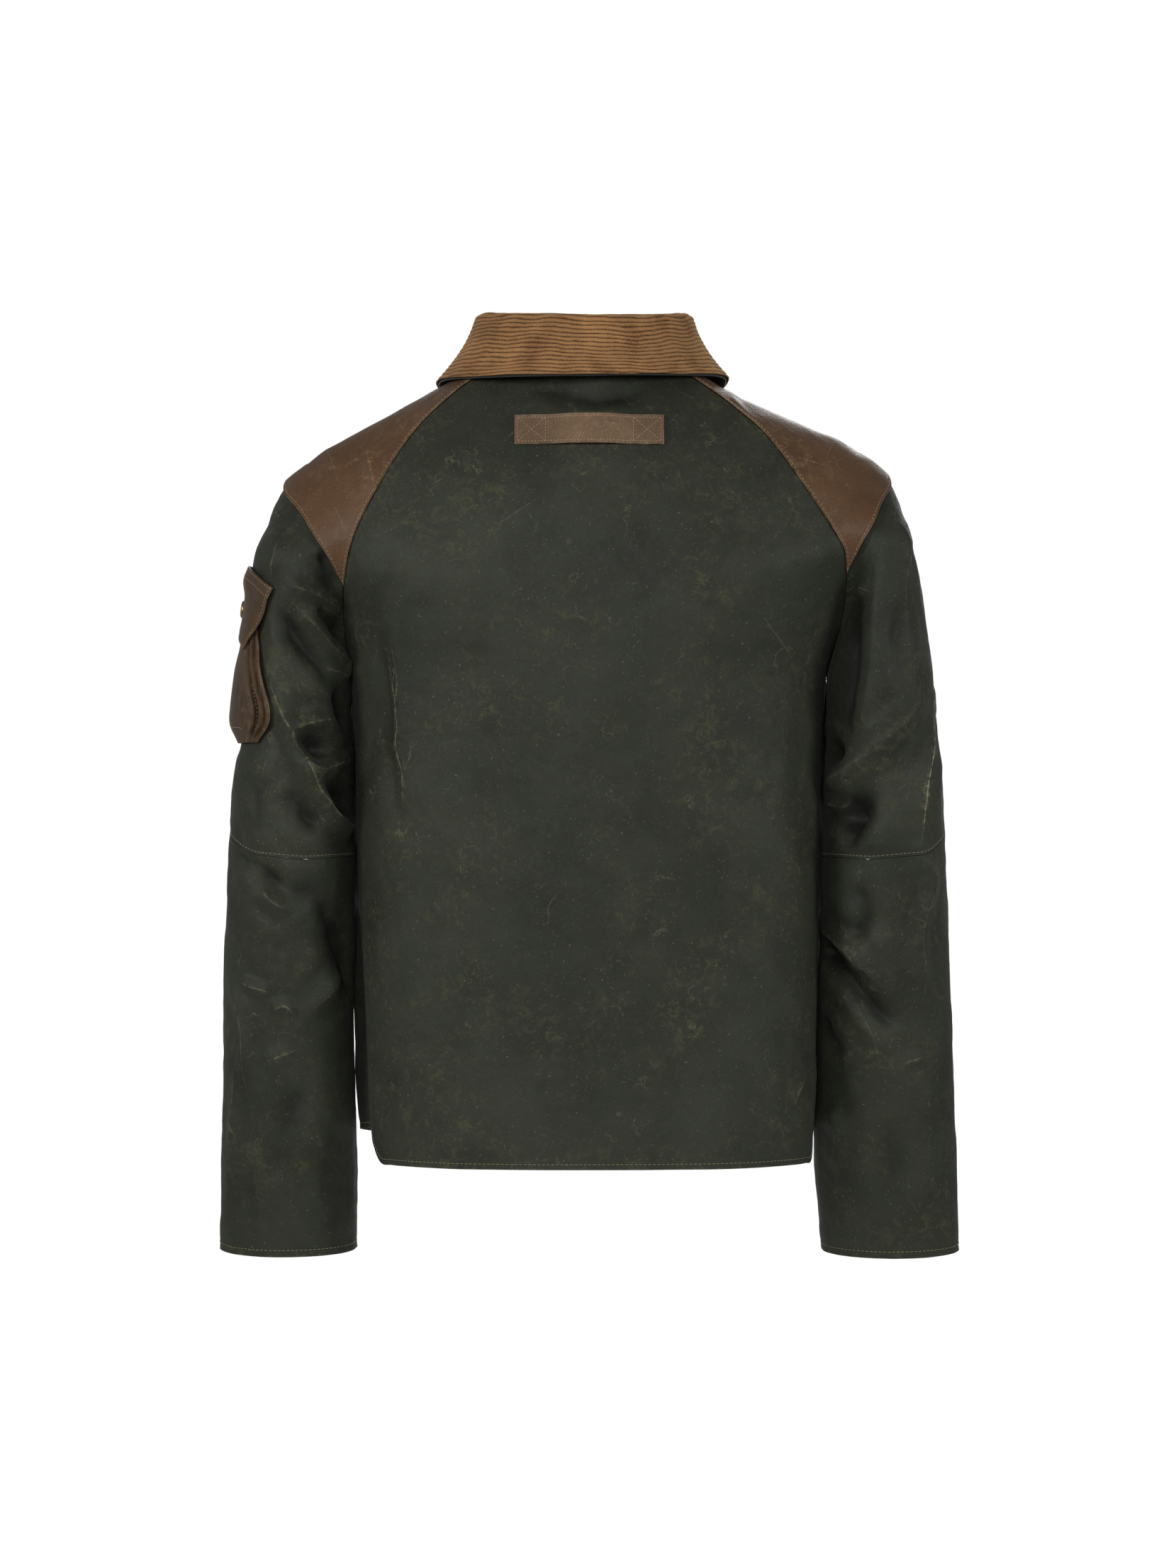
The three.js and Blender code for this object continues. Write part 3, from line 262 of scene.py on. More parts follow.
def crumple(points, size, seed):
    """Irregular small unevenness of a stiff cloth, about 1 high, with its grain of that size."""
    made = np.zeros(points.shape[:2])
    shift = Vector((seed * 3.7, seed * 1.9, seed * 5.3))
    for index in np.ndindex(made.shape):
        at = Vector(points[index]) / size + shift
        made[index] = noise.fractal(at, 0.7, 2.0, 3)
    return made


def run_from(points, edge):
    """Distance of each grid point from an edge, along the cloth."""
    axis = 0 if edge in ("top", "bottom") else 1
    steps = np.linalg.norm(np.diff(points, axis=axis), axis=2)
    pad = [(0, 0), (0, 0)]
    pad[axis] = (1, 0)
    run = np.pad(np.cumsum(steps, axis=axis), pad)
    if edge in ("bottom", "right"):
        run = run.take([-1], axis=axis) - run
    return run


def line_inside(points, normals, edge, distance):
    """The line on the cloth at a distance from one of its edges, with its normals."""
    run = run_from(points, edge)
    if edge in ("left", "right"):
        points, normals, run = points.swapaxes(0, 1), normals.swapaxes(0, 1), run.T
    if edge in ("bottom", "right"):
        points, normals, run = points[::-1], normals[::-1], run[::-1]
    count = (run < distance).sum(axis=0).clip(1, len(run) - 1)
    columns = np.arange(points.shape[1])
    low, high = run[count - 1, columns], run[count, columns]
    share = ((distance - low) / (high - low))[:, None]
    mixed = [grid[count - 1, columns] * (1 - share) + grid[count, columns] * share for grid in (points, normals)]
    return mixed[0], mixed[1]


def linear(hex_colour):
    """An sRGB hex colour as linear values."""
    parts = [int(hex_colour[i:i + 2], 16) / 255 for i in (1, 3, 5)]
    return [c / 12.92 if c <= 0.04045 else ((c + 0.055) / 1.055) ** 2.4 for c in parts] + [1.0]


def add_node(tree, kind, links=None, **settings):
    """Adds a node with its settings, and links or sets its inputs."""
    node = tree.nodes.new(kind)
    for name, value in settings.items():
        setattr(node, name, value)
    for name, value in (links or {}).items():
        socket = node.inputs[name]
        if isinstance(value, bpy.types.NodeSocket):
            tree.links.new(value, socket)
        else:
            socket.default_value = value
    return node


def waxed_cloth(name, deep, body, bloom, rub, roughness):
    """Heavy cotton dressed with wax. The wax lies a little unevenly, with a faint yellowish bloom and fine
    pale specks where it has dried out, and pale hair lines where it has cracked along the creases."""
    look = bpy.data.materials.new(name)
    look.use_nodes = True
    tree = look.node_tree
    tree.nodes.clear()
    place = add_node(tree, "ShaderNodeTexCoord").outputs["Object"]
    clouds = add_node(tree, "ShaderNodeTexNoise", {
        "Vector": place, "Scale": 1 / 0.07, "Detail": 5.0, "Roughness": 0.6, "Distortion": 0.5})
    ground = add_node(tree, "ShaderNodeMix", {
        "Factor": add_node(tree, "ShaderNodeMapRange", {
            "Value": clouds.outputs["Fac"], "From Min": 0.35, "From Max": 0.66}).outputs["Result"],
        "A": linear(deep), "B": linear(body)}, data_type="RGBA")

    # Bloom: soft broken flecks of 5 to 15 mm, gathered in patches, most of them high on the jacket
    flecks = add_node(tree, "ShaderNodeTexNoise", {
        "Vector": place, "Scale": 1 / 0.009, "Detail": 8.0, "Roughness": 0.78, "Distortion": 0.9})
    patches = add_node(tree, "ShaderNodeTexNoise", {"Vector": place, "Scale": 1 / 0.06, "Detail": 3.0})
    height = add_node(tree, "ShaderNodeSeparateXYZ", {"Vector": place})
    high = add_node(tree, "ShaderNodeMapRange", {
        "Value": height.outputs["Z"], "From Min": -0.3, "From Max": -0.08, "To Min": 0.0, "To Max": 0.06})
    gathered = add_node(tree, "ShaderNodeMapRange", {
        "Value": add_node(tree, "ShaderNodeMath", {
            0: patches.outputs["Fac"], 1: high.outputs["Result"]}, operation="ADD").outputs[0],
        "From Min": 0.42, "From Max": 0.68})
    flecked = add_node(tree, "ShaderNodeMapRange", {
        "Value": flecks.outputs["Fac"], "From Min": 0.5, "From Max": 0.72})
    bloomed = add_node(tree, "ShaderNodeMath", {
        0: gathered.outputs["Result"], 1: flecked.outputs["Result"]}, operation="MULTIPLY")
    with_bloom = add_node(tree, "ShaderNodeMix", {
        "Factor": bloomed.outputs[0], "A": ground.outputs["Result"], "B": linear(bloom)}, data_type="RGBA")

    # Hair cracks: broken lines under 1 mm wide and 10 to 30 mm long
    bent = add_node(tree, "ShaderNodeTexNoise", {"Vector": place, "Scale": 1 / 0.02, "Detail": 4.0})
    shifted = add_node(tree, "ShaderNodeVectorMath", {
        0: place, 1: add_node(tree, "ShaderNodeVectorMath", {
            0: bent.outputs["Color"], 1: (0.035, 0.035, 0.035)}, operation="MULTIPLY").outputs[0]}, operation="ADD")
    cells = add_node(tree, "ShaderNodeTexVoronoi", {
        "Vector": shifted.outputs[0], "Scale": 1 / 0.045}, feature="DISTANCE_TO_EDGE")
    hair = add_node(tree, "ShaderNodeMapRange", {
        "Value": cells.outputs["Distance"], "From Min": 0.002, "From Max": 0.014, "To Min": 1.0, "To Max": 0.0})
    some = add_node(tree, "ShaderNodeMapRange", {
        "Value": add_node(tree, "ShaderNodeTexNoise", {
            "Vector": place, "Scale": 1 / 0.02, "Detail": 3.0}).outputs["Fac"],
        "From Min": 0.56, "From Max": 0.74, "To Max": 0.3})
    cracks = add_node(tree, "ShaderNodeMath", {
        0: hair.outputs["Result"], 1: some.outputs["Result"]}, operation="MULTIPLY")

    # Rubbed crests: a line of 1 mm along each crease, broken up, in a wider and fainter bloom
    rubbed = add_node(tree, "ShaderNodeAttribute", attribute_name="rubbed")
    across = add_node(tree, "ShaderNodeMath", {
        0: add_node(tree, "ShaderNodeAttribute", attribute_name="across").outputs["Fac"]}, operation="ABSOLUTE")
    line = add_node(tree, "ShaderNodeMapRange", {
        "Value": across.outputs[0], "From Min": 0.15, "From Max": 0.8, "To Min": 0.6, "To Max": 0.0})
    beside = add_node(tree, "ShaderNodeMapRange", {
        "Value": across.outputs[0], "From Min": 0.0, "From Max": 5.0, "To Min": 0.35, "To Max": 0.0})
    broken = add_node(tree, "ShaderNodeMapRange", {
        "Value": flecks.outputs["Fac"], "From Min": 0.4, "From Max": 0.64})
    crest = add_node(tree, "ShaderNodeMath", {
        0: line.outputs["Result"], 1: add_node(tree, "ShaderNodeMath", {
            0: beside.outputs["Result"], 1: flecked.outputs["Result"]}, operation="MULTIPLY").outputs[0],
    }, operation="MAXIMUM")
    worn = add_node(tree, "ShaderNodeMath", {
        0: crest.outputs[0], 1: add_node(tree, "ShaderNodeMath", {
            0: rubbed.outputs["Fac"], 1: broken.outputs["Result"]}, operation="MULTIPLY").outputs[0],
    }, operation="MULTIPLY")

    # Specks: dust and dry wax, under 1 mm
    dust = add_node(tree, "ShaderNodeTexNoise", {
        "Vector": place, "Scale": 1 / 0.0021, "Detail": 2.0, "Roughness": 0.6})
    specks = add_node(tree, "ShaderNodeMapRange", {
        "Value": dust.outputs["Fac"], "From Min": 0.66, "From Max": 0.76, "To Max": 0.4})
    pale = add_node(tree, "ShaderNodeMath", {
        0: add_node(tree, "ShaderNodeMath", {
            0: cracks.outputs[0], 1: worn.outputs[0]}, operation="MAXIMUM").outputs[0],
        1: specks.outputs["Result"]}, operation="MAXIMUM", use_clamp=True)
    with_rub = add_node(tree, "ShaderNodeMix", {
        "Factor": pale.outputs[0], "A": with_bloom.outputs["Result"], "B": linear(rub)}, data_type="RGBA")

    # Threads of 0.5 mm, drawn at 1.2 mm so that they show as a faint mottle
    threads = add_node(tree, "ShaderNodeTexNoise", {
        "Vector": place, "Scale": 1 / 0.0012, "Detail": 2.0, "Roughness": 0.7})
    thread_shade = add_node(tree, "ShaderNodeMapRange", {
        "Value": threads.outputs["Fac"], "From Min": 0.3, "From Max": 0.7, "To Min": 0.84, "To Max": 1.16})
    # The hollows of the folds are darker, the deeper they sink: painted shade
    hollow = add_node(tree, "ShaderNodeMapRange", {
        "Value": add_node(tree, "ShaderNodeAttribute", attribute_name="raised").outputs["Fac"],
        "From Min": -7.0, "From Max": -0.6, "To Min": 0.3, "To Max": 1.0})
    shade = add_node(tree, "ShaderNodeMath", {
        0: thread_shade.outputs["Result"], 1: hollow.outputs["Result"]}, operation="MULTIPLY")
    colour = add_node(tree, "ShaderNodeVectorMath", {
        0: with_rub.outputs["Result"], "Scale": shade.outputs[0]}, operation="SCALE")
    gloss = add_node(tree, "ShaderNodeMapRange", {
        "Value": flecks.outputs["Fac"], "From Min": 0.35, "From Max": 0.7,
        "To Min": roughness - 0.08, "To Max": roughness + 0.12})
    wrinkle = add_node(tree, "ShaderNodeTexNoise", {
        "Vector": place, "Scale": 1 / 0.017, "Detail": 4.0, "Roughness": 0.5, "Distortion": 0.7})
    uneven = add_node(tree, "ShaderNodeMath", {
        0: wrinkle.outputs["Fac"], 1: add_node(tree, "ShaderNodeMath", {
            0: threads.outputs["Fac"], 1: 0.09}, operation="MULTIPLY").outputs[0]}, operation="ADD")
    bump = add_node(tree, "ShaderNodeBump", {"Height": uneven.outputs[0], "Strength": 0.4, "Distance": 0.002})
    shader = add_node(tree, "ShaderNodeBsdfPrincipled", {
        "Base Color": colour.outputs[0], "Roughness": gloss.outputs["Result"], "Normal": bump.outputs[0],
        "IOR": 1.45, "Specular IOR Level": 0.24, "Sheen Weight": 0.02, "Sheen Roughness": 0.5})
    add_node(tree, "ShaderNodeOutputMaterial", {"Surface": shader.outputs[0]})
    return look


def plain_cloth(name, colour, thread, roughness):
    """Plainly woven cotton: two sets of threads drawn as a fine broken mottle."""
    look = bpy.data.materials.new(name)
    look.use_nodes = True
    tree = look.node_tree
    tree.nodes.clear()
    place = add_node(tree, "ShaderNodeTexCoord").outputs["Object"]
    weave = add_node(tree, "ShaderNodeTexNoise", {"Vector": place, "Scale": 1 / thread, "Detail": 2.0})
    shade = add_node(tree, "ShaderNodeMapRange", {
        "Value": weave.outputs["Fac"], "From Min": 0.3, "From Max": 0.7, "To Min": 0.75, "To Max": 1.2})
    tint = add_node(tree, "ShaderNodeVectorMath", {
        0: linear(colour)[:3], "Scale": shade.outputs["Result"]}, operation="SCALE")
    bump = add_node(tree, "ShaderNodeBump", {"Height": weave.outputs["Fac"], "Strength": 0.3, "Distance": 0.0004})
    shader = add_node(tree, "ShaderNodeBsdfPrincipled", {
        "Base Color": tint.outputs[0], "Roughness": roughness, "Normal": bump.outputs[0], "Sheen Weight": 0.1})
    add_node(tree, "ShaderNodeOutputMaterial", {"Surface": shader.outputs[0]})
    return look


def cloth_piece(name, points, normals, wall, outside, inside, marks=None, relief=None):
    """A piece of cloth through a grid of outer points, with its wall behind them. It keeps the marks of its
    creases and how high or deep each place lies in them."""
    rows, columns = points.shape[:2]
    marks = np.zeros((rows, columns, 2)) if marks is None else marks
    relief = np.zeros((rows, columns)) if relief is None else relief / MM
    marks = np.dstack([marks, relief])
    if np.cross(points[1, 0] - points[0, 0], points[0, 1] - points[0, 0]) @ normals[0, 0] < 0:
        points, marks = points[:, ::-1], marks[:, ::-1]
    index = np.arange(rows * columns).reshape(rows, columns)
    faces = np.stack([index[:-1, :-1], index[1:, :-1], index[1:, 1:], index[:-1, 1:]], axis=-1).reshape(-1, 4)
    mesh = bpy.data.meshes.new(name)
    mesh.from_pydata(points.reshape(-1, 3).tolist(), [], faces.tolist())
    # raised holds how high or deep each place lies; the waxed cloth is darkened where it lies deep, as painted shade
    for layer, mark in enumerate(("rubbed", "across", "raised")):
        mesh.attributes.new(mark, "FLOAT", "POINT").data.foreach_set("value", marks[..., layer].ravel())
    mesh.materials.append(outside)
    mesh.materials.append(inside)
    piece = bpy.data.objects.new(name, mesh)
    bpy.context.scene.collection.objects.link(piece)
    bpy.ops.object.select_all(action="DESELECT")
    piece.select_set(True)
    bpy.context.view_layer.objects.active = piece
    bpy.ops.object.mode_set(mode="EDIT")
    bpy.ops.mesh.select_all(action="SELECT")
    bpy.ops.mesh.remove_doubles(threshold=1e-6)
    bpy.ops.object.mode_set(mode="OBJECT")
    solid = piece.modifiers.new("wall", "SOLIDIFY")
    solid.thickness = wall
    solid.offset = -1
    solid.material_offset = 1
    bpy.ops.object.modifier_apply(modifier=solid.name)
    bpy.ops.object.shade_smooth_by_angle(angle=math.radians(50))
    bpy.ops.object.select_all(action="DESELECT")
    return piece


def stitches(name, lines, look, length=2.6 * MM, gap=0.9 * MM, thickness=0.5 * MM, sink=0.1 * MM):
    """Rows of stitches along lines of points on the cloth: each one a short fat thread with pointed ends."""
    ring = [(math.cos(a), math.sin(a)) for a in (math.pi / 4 + k * math.pi / 2 for k in range(4))]
    stations = [(-0.5, 0.0), (-0.36, 0.85), (0.0, 1.0), (0.36, 0.85), (0.5, 0.0)]
    verts, faces = [], []
    for points, normals in lines:
        steps = np.linalg.norm(np.diff(points, axis=0), axis=1)
        run = np.concatenate([[0], np.cumsum(steps)])
        count = int(run[-1] / (length + gap))
        for k in range(count):
            at = (k + 0.5) * run[-1] / count
            ends = [np.array([np.interp(at + d * length, run, points[:, i]) for i in range(3)]) for d in (-0.5, 0.5)]
            normal = np.array([np.interp(at, run, normals[:, i]) for i in range(3)])
            along = ends[1] - ends[0]
            along /= max(np.linalg.norm(along), 1e-9)
            side = np.cross(along, normal)
            side /= max(np.linalg.norm(side), 1e-9)
            up = np.cross(side, along)
            centre = (ends[0] + ends[1]) / 2 + up * (thickness * 0.5 - sink)
            tilt = random.uniform(-0.06, 0.06)
            along = along + tilt * side
            base = len(verts)
            verts.append(centre + along * length * stations[0][0] - up * thickness * 0.4)
            for share, size in stations[1:-1]:
                for c, s in ring:
                    verts.append(centre + along * length * share + (side * c + up * s) * thickness * 0.5 * size)
            verts.append(centre + along * length * stations[-1][0] - up * thickness * 0.4)
            for j in range(4):
                j2 = (j + 1) % 4
                faces.append((base, base + 1 + j2, base + 1 + j))
                for ring_at in (0, 1):
                    a, b = base + 1 + ring_at * 4 + j, base + 1 + ring_at * 4 + j2
                    faces.append((a, b, b + 4, a + 4))
                faces.append((base + 13, base + 9 + j, base + 9 + j2))
    mesh = bpy.data.meshes.new(name)
    mesh.from_pydata([tuple(v) for v in verts], [], faces)
    mesh.materials.append(look)
    piece = bpy.data.objects.new(name, mesh)
    bpy.context.scene.collection.objects.link(piece)
    bpy.context.view_layer.objects.active = piece
    piece.select_set(True)
    bpy.ops.object.mode_set(mode="EDIT")
    bpy.ops.mesh.select_all(action="SELECT")
    bpy.ops.mesh.normals_make_consistent(inside=False)
    bpy.ops.object.mode_set(mode="OBJECT")
    bpy.ops.object.shade_smooth()
    bpy.ops.object.select_all(action="DESELECT")
    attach(piece, "root")
    return piece


random.seed(7)
waxed_cotton = waxed_cloth("waxed cotton, dark olive", "#1f2119", "#292c23", "#47462f", "#77745a", 0.6)
cotton_lining = plain_cloth("cotton lining, brown", "#332a20", 1.2 * MM, 0.85)
hem_thread = plain_cloth("cotton thread, olive", "#7a7554", 0.6 * MM, 0.7)

back_points = outer_grid("back", BACK_COLUMNS, (-0.056, -0.04, 0), (0, -0.06, 0), BODY_CORE, WAXED_WALL)
back_points = finer(finer(back_points, 8, 0), 8, 1)
back_normals = grid_normals(back_points, BODY_CORE)
back_relief, back_marks = crease(back_points, back_normals, BACK_CREASES, -1)
back_relief += 0.9 * MM * crumple(back_points, 0.075, 1) + 0.3 * MM * crumple(back_points, 0.02, 2)
hem_run = run_from(back_points, "bottom")
edges = np.minimum(run_from(back_points, "left"), run_from(back_points, "right"))
back_relief *= smooth_step(edges, 0, 14 * MM)
beside_tab = np.hypot(np.maximum(np.abs(back_points[..., 0]) - TAB_PLACE[0], 0),
                      np.maximum(np.abs(back_points[..., 2] - TAB_PLACE[1]) - TAB_PLACE[2], 0))
back_relief += (np.minimum(back_relief, -TAB_CLEAR) - back_relief) * (1 - smooth_step(beside_tab, 0, 12 * MM))
back_relief -= 0.5 * MM * np.exp(-(((hem_run - BACK_HEM_STITCH) / (1.6 * MM)) ** 2))
back_marks = worn_edge(worn_edge(back_marks, edges, 0.5), hem_run, 0.6)
back_shape = back_points + back_normals * back_relief[..., None]
back_normals = grid_normals(back_shape, BODY_CORE)
back_piece = cloth_piece("back_panel", back_shape, back_normals, WAXED_WALL, waxed_cotton, cotton_lining,
                         back_marks, back_relief)
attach(back_piece, "root")
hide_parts("back")
back_hem = stitches("back_hem_stitches", [
    line_inside(back_shape, back_normals, "bottom", BACK_HEM_STITCH)], hem_thread)


# Front panels
# Two fronts of the same waxed cotton. The wearer's left laps over the right down the middle,
# and both have a turned and stitched hem and a stitched front edge.

FRONT_COLUMNS = 12
FRONT_STITCH = 6 * MM
LAP = 20 * MM  # the fronts lie flat on each other where they lap
FRONT_CREASES = {
    "left": [
        ([(-150, -255), (-138, -300), (-120, -345)], -2.2, 13),
        ([(-160, -300), (-140, -345), (-128, -410)], 1.8, 12),
        ([(-135, -395), (-150, -450), (-148, -520)], -1.6, 12),
        ([(-60, -180), (-85, -240), (-92, -310)], -1.4, 15),
        ([(-40, -330), (-70, -370), (-110, -390)], 1.2, 11),
        ([(-100, -480), (-96, -540), (-104, -600)], 1.6, 15),
        ([(-60, -520), (-52, -570), (-56, -612)], -1.3, 14),
        ([(-30, -110), (-52, -140), (-70, -150)], 1.2, 10),
    ],
    "right": [
        ([(150, -250), (136, -292), (112, -330)], -2.2, 13),
        ([(158, -305), (136, -340), (120, -400)], 1.7, 12),
        ([(140, -420), (150, -470), (144, -540)], -1.5, 13),
        ([(70, -190), (92, -250), (90, -320)], -1.3, 15),
        ([(50, -360), (82, -382), (120, -380)], 1.1, 11),
        ([(104, -500), (98, -550), (106, -605)], 1.4, 15),
        ([(62, -500), (56, -560), (60, -612)], -1.2, 15),
        ([(34, -118), (56, -146), (76, -150)], 1.1, 10),
    ],
}

# Each front swells out beside the sleeve, in front of the side seam: how far down, and how much, in mm.
SWELL_Y = 32 * MM
SIDE_SWELL = {
    "left": [(225, 0), (250, 5.6), (265, 8.2), (300, 9.8), (352, 10.8), (410, 11.4), (438, 10.6), (452, 5.4), (475, 3.8),
             (505, 4.2), (538, 5.0), (556, 9.2), (590, 9.2), (620, 7.0)],
    "right": [(225, 0), (250, 6.0), (265, 8.4), (300, 10.0), (352, 11.8), (410, 10.2), (470, 9.8), (530, 10.8),
              (590, 10.4), (625, 9.0)],
}

for side, sign in (("left", -1), ("right", 1)):
    node = "front_" + side
    corner = (sign * 0.062, 0.05, -0.028)
    points = outer_grid(node, FRONT_COLUMNS, corner, (sign * 0.03, 0.075, -0.06), BODY_CORE, WAXED_WALL)
    points = finer(finer(points, 8, 0), 8, 1)
    normals = grid_normals(points, BODY_CORE)
    relief, marks = crease(points, normals, FRONT_CREASES[side], 1)
    relief += 0.8 * MM * crumple(points, 0.07, 3 + sign) + 0.3 * MM * crumple(points, 0.02, 6 + sign)
    edges = np.minimum(run_from(points, "left"), run_from(points, "right"))
    relief *= smooth_step(edges, 0, 14 * MM)
    relief *= smooth_step(run_from(points, "right"), LAP, LAP + 30 * MM)
    swell = np.interp(-points[..., 2], *np.array(SIDE_SWELL[side]).T * MM)
    relief += swell * np.exp(-(((points[..., 1] - SWELL_Y) / (17 * MM)) ** 2))
    hem_run = run_from(points, "bottom")
    relief -= 0.5 * MM * np.exp(-(((hem_run - BACK_HEM_STITCH) / (1.6 * MM)) ** 2))
    marks = worn_edge(worn_edge(marks, edges, 0.5), hem_run, 0.6)
    shape = points + normals * relief[..., None]
    normals = grid_normals(shape, BODY_CORE)
    piece = cloth_piece(node + "_panel", shape, normals, WAXED_WALL, waxed_cotton, cotton_lining, marks, relief)
    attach(piece, "root")
    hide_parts(node)
    sewn = stitches(node + "_stitches", [
        line_inside(shape, normals, "bottom", BACK_HEM_STITCH),
        line_inside(shape, normals, "right", FRONT_STITCH),
    ], hem_thread)


# Sleeves
# Raglan sleeves in two parts each, an upper one up to the neck and a lower one, joined by a
# curved seam at the elbow. The cloth is stiff with wax, so it breaks into hard diagonal folds.

SLEEVE_COLUMNS = 20
UNDERARM_ROW = 10
CUFF_STITCH = 5.5 * MM
SEAM_STITCH = 2.2 * MM
SLEEVE_FOLD_DEPTH = 2.2
HELD_FOLD = 0.6 * MM  # the most that a fold rises on the sides, where the cloth is drawn tight
SLEEVE_CORE = [(0.07, 0.01, -0.04), (0.15, 0.0, -0.1), (0.215, -0.002, -0.18), (0.232, -0.005, -0.3),
               (0.233, -0.005, -0.5), (0.237, 0.019, -0.72)]
SLEEVE_CREASES = {
    "left": [
        ([(-236, -180), (-216, -184), (-187, -201)], 2.6, 8),
        ([(-237, -183), (-219, -203), (-202, -227), (-186, -243)], 3.6, 9),
        ([(-243, -194), (-219, -224), (-195, -256)], -3.4, 12),
        ([(-212, -196), (-199, -207), (-188, -222)], -2.6, 8),
        ([(-217, -247), (-205, -241), (-187, -254)], 2.6, 7),
        ([(-202, -257), (-190, -275), (-186, -302)], -4.4, 12),
        ([(-253, -222), (-246, -253), (-232, -286), (-213, -330), (-197, -357), (-184, -371)], 3.0, 8, 1.2),
        ([(-230, -292), (-213, -284), (-196, -282)], 2.4, 7),
        ([(-226, -305), (-212, -322), (-198, -318), (-187, -312)], 3.2, 8),
        ([(-230, -298), (-214, -303), (-199, -311)], -3.4, 9),
        ([(-206, -334), (-191, -345), (-184, -363)], -4.6, 13),
        ([(-238, -143), (-243, -165), (-251, -192)], 1.2, 7),
        ([(-252, -110), (-235, -132)], 0.9, 7),
        ([(-205, -150), (-198, -188)], -2.4, 12),
        ([(-236, -337), (-222, -352), (-204, -372)], -2.6, 12),
        ([(-262, -318), (-258, -352), (-262, -385)], -1.2, 14),
        ([(-274, -385), (-252, -399), (-235, -421)], -2.6, 10),
        ([(-254, -413), (-240, -426), (-226, -432)], 3.0, 7),
        ([(-235, -419), (-213, -419), (-197, -440)], -2.2, 12),
        ([(-281, -479), (-271, -517), (-265, -583)], 1.6, 8),
        ([(-271, -487), (-257, -491), (-245, -496)], 1.8, 5),
        ([(-246, -509), (-235, -505), (-227, -513)], 1.8, 6),
        ([(-221, -514), (-204, -496), (-189, -474)], 2.4, 9),
        ([(-208, -418), (-191, -468), (-184, -517)], -3.4, 14),
        ([(-274, -550), (-278, -583), (-280, -627)], 1.3, 7),
        ([(-252, -550), (-241, -545), (-224, -539)], 0.9, 6),
        ([(-215, -560), (-238, -606), (-246, -650)], -1.6, 16),
        ([(-205, -600), (-212, -640), (-208, -680)], 1.2, 13),
        ([(-262, -620), (-266, -655), (-262, -688)], -1.0, 12),
    ],
    "right": [
        ([(182, -338), (205, -318), (227, -300), (262, -262)], 3.2, 10),
        ([(184, -352), (206, -357), (232, -334)], -3.0, 12),
        ([(183, -345), (196, -351), (205, -339)], 2.4, 7),
        ([(194, -187), (208, -181), (222, -186)], 1.8, 7),
        ([(209, -172), (203, -225), (199, -270), (194, -318)], -3.6, 19),
        ([(226, -150), (222, -205), (217, -258), (206, -300)], 2.4, 12),
        ([(186, -293), (192, -308), (198, -322)], -4.0, 9),
        ([(240, -190), (236, -230), (240, -262)], -1.6, 13),
        ([(230, -77), (236, -110), (238, -143)], 0.9, 7),
        ([(247, -132), (244, -181), (247, -220)], 1.8, 8),
        ([(270, -262), (267, -305), (261, -340), (257, -388)], 1.6, 7, 5.0),
        ([(262, -375), (268, -410), (258, -450), (262, -515)], 2.0, 8),
        ([(203, -338), (205, -362), (199, -392)], -3.8, 13),
        ([(179, -455), (200, -481), (227, -512), (249, -523)], -4.0, 9),
        ([(184, -444), (207, -465), (233, -496)], 2.4, 8),
        ([(180, -511), (190, -532), (200, -550)], -2.4, 9),
        ([(206, -500), (222, -530), (226, -552)], 1.2, 9),
        ([(244, -550), (255, -547), (260, -545)], 1.2, 5),
        ([(186, -583), (194, -605), (192, -638)], 1.6, 9),
        ([(205, -407), (214, -435), (200, -457)], -2.4, 12),
        ([(230, -590), (238, -630), (232, -668)], -1.4, 16),
        ([(262, -560), (266, -610), (262, -660)], 1.1, 12),
    ],
}
SLEEVE_FRONT_CREASES = [
    ([(205, -250), (225, -262), (248, -290)], 2.8, 9),
    ([(198, -285), (222, -300), (246, -332)], -3.0, 12),
    ([(190, -330), (212, -340), (240, -366)], 2.6, 9),
    ([(192, -372), (220, -380), (252, -382)], -3.2, 11),
    ([(196, -405), (224, -412), (256, -404)], 3.0, 9),
    ([(200, -440), (226, -448), (250, -438)], -2.8, 11),
    ([(212, -180), (232, -205), (240, -240)], -1.8, 14),
    ([(186, -200), (200, -232), (206, -262)], 2.0, 10),
    ([(250, -470), (244, -520), (252, -580)], 1.8, 11),
    ([(214, -486), (226, -530), (218, -590)], -1.8, 13),
    ([(236, -560), (226, -610), (230, -664)], 1.2, 14),
    ([(200, -560), (204, -610), (198, -650)], -1.2, 12),
]
# The patch of the shoulder holds down the cloth of the sleeve under it, and so does the pocket.
UNDER_PATCH = 0.055
UNDER_POCKET = 1.0 * MM
POCKET_PLACE = (-304 * MM, -172 * MM, 242 * MM)  # its lowest and highest point, and how far out it starts


def close_rings(values, first):
    """Joins the two ends of each closed row."""
    values[first:, 0] = values[first:, -1] = (values[first:, 0] + values[first:, -1]) / 2
    return values


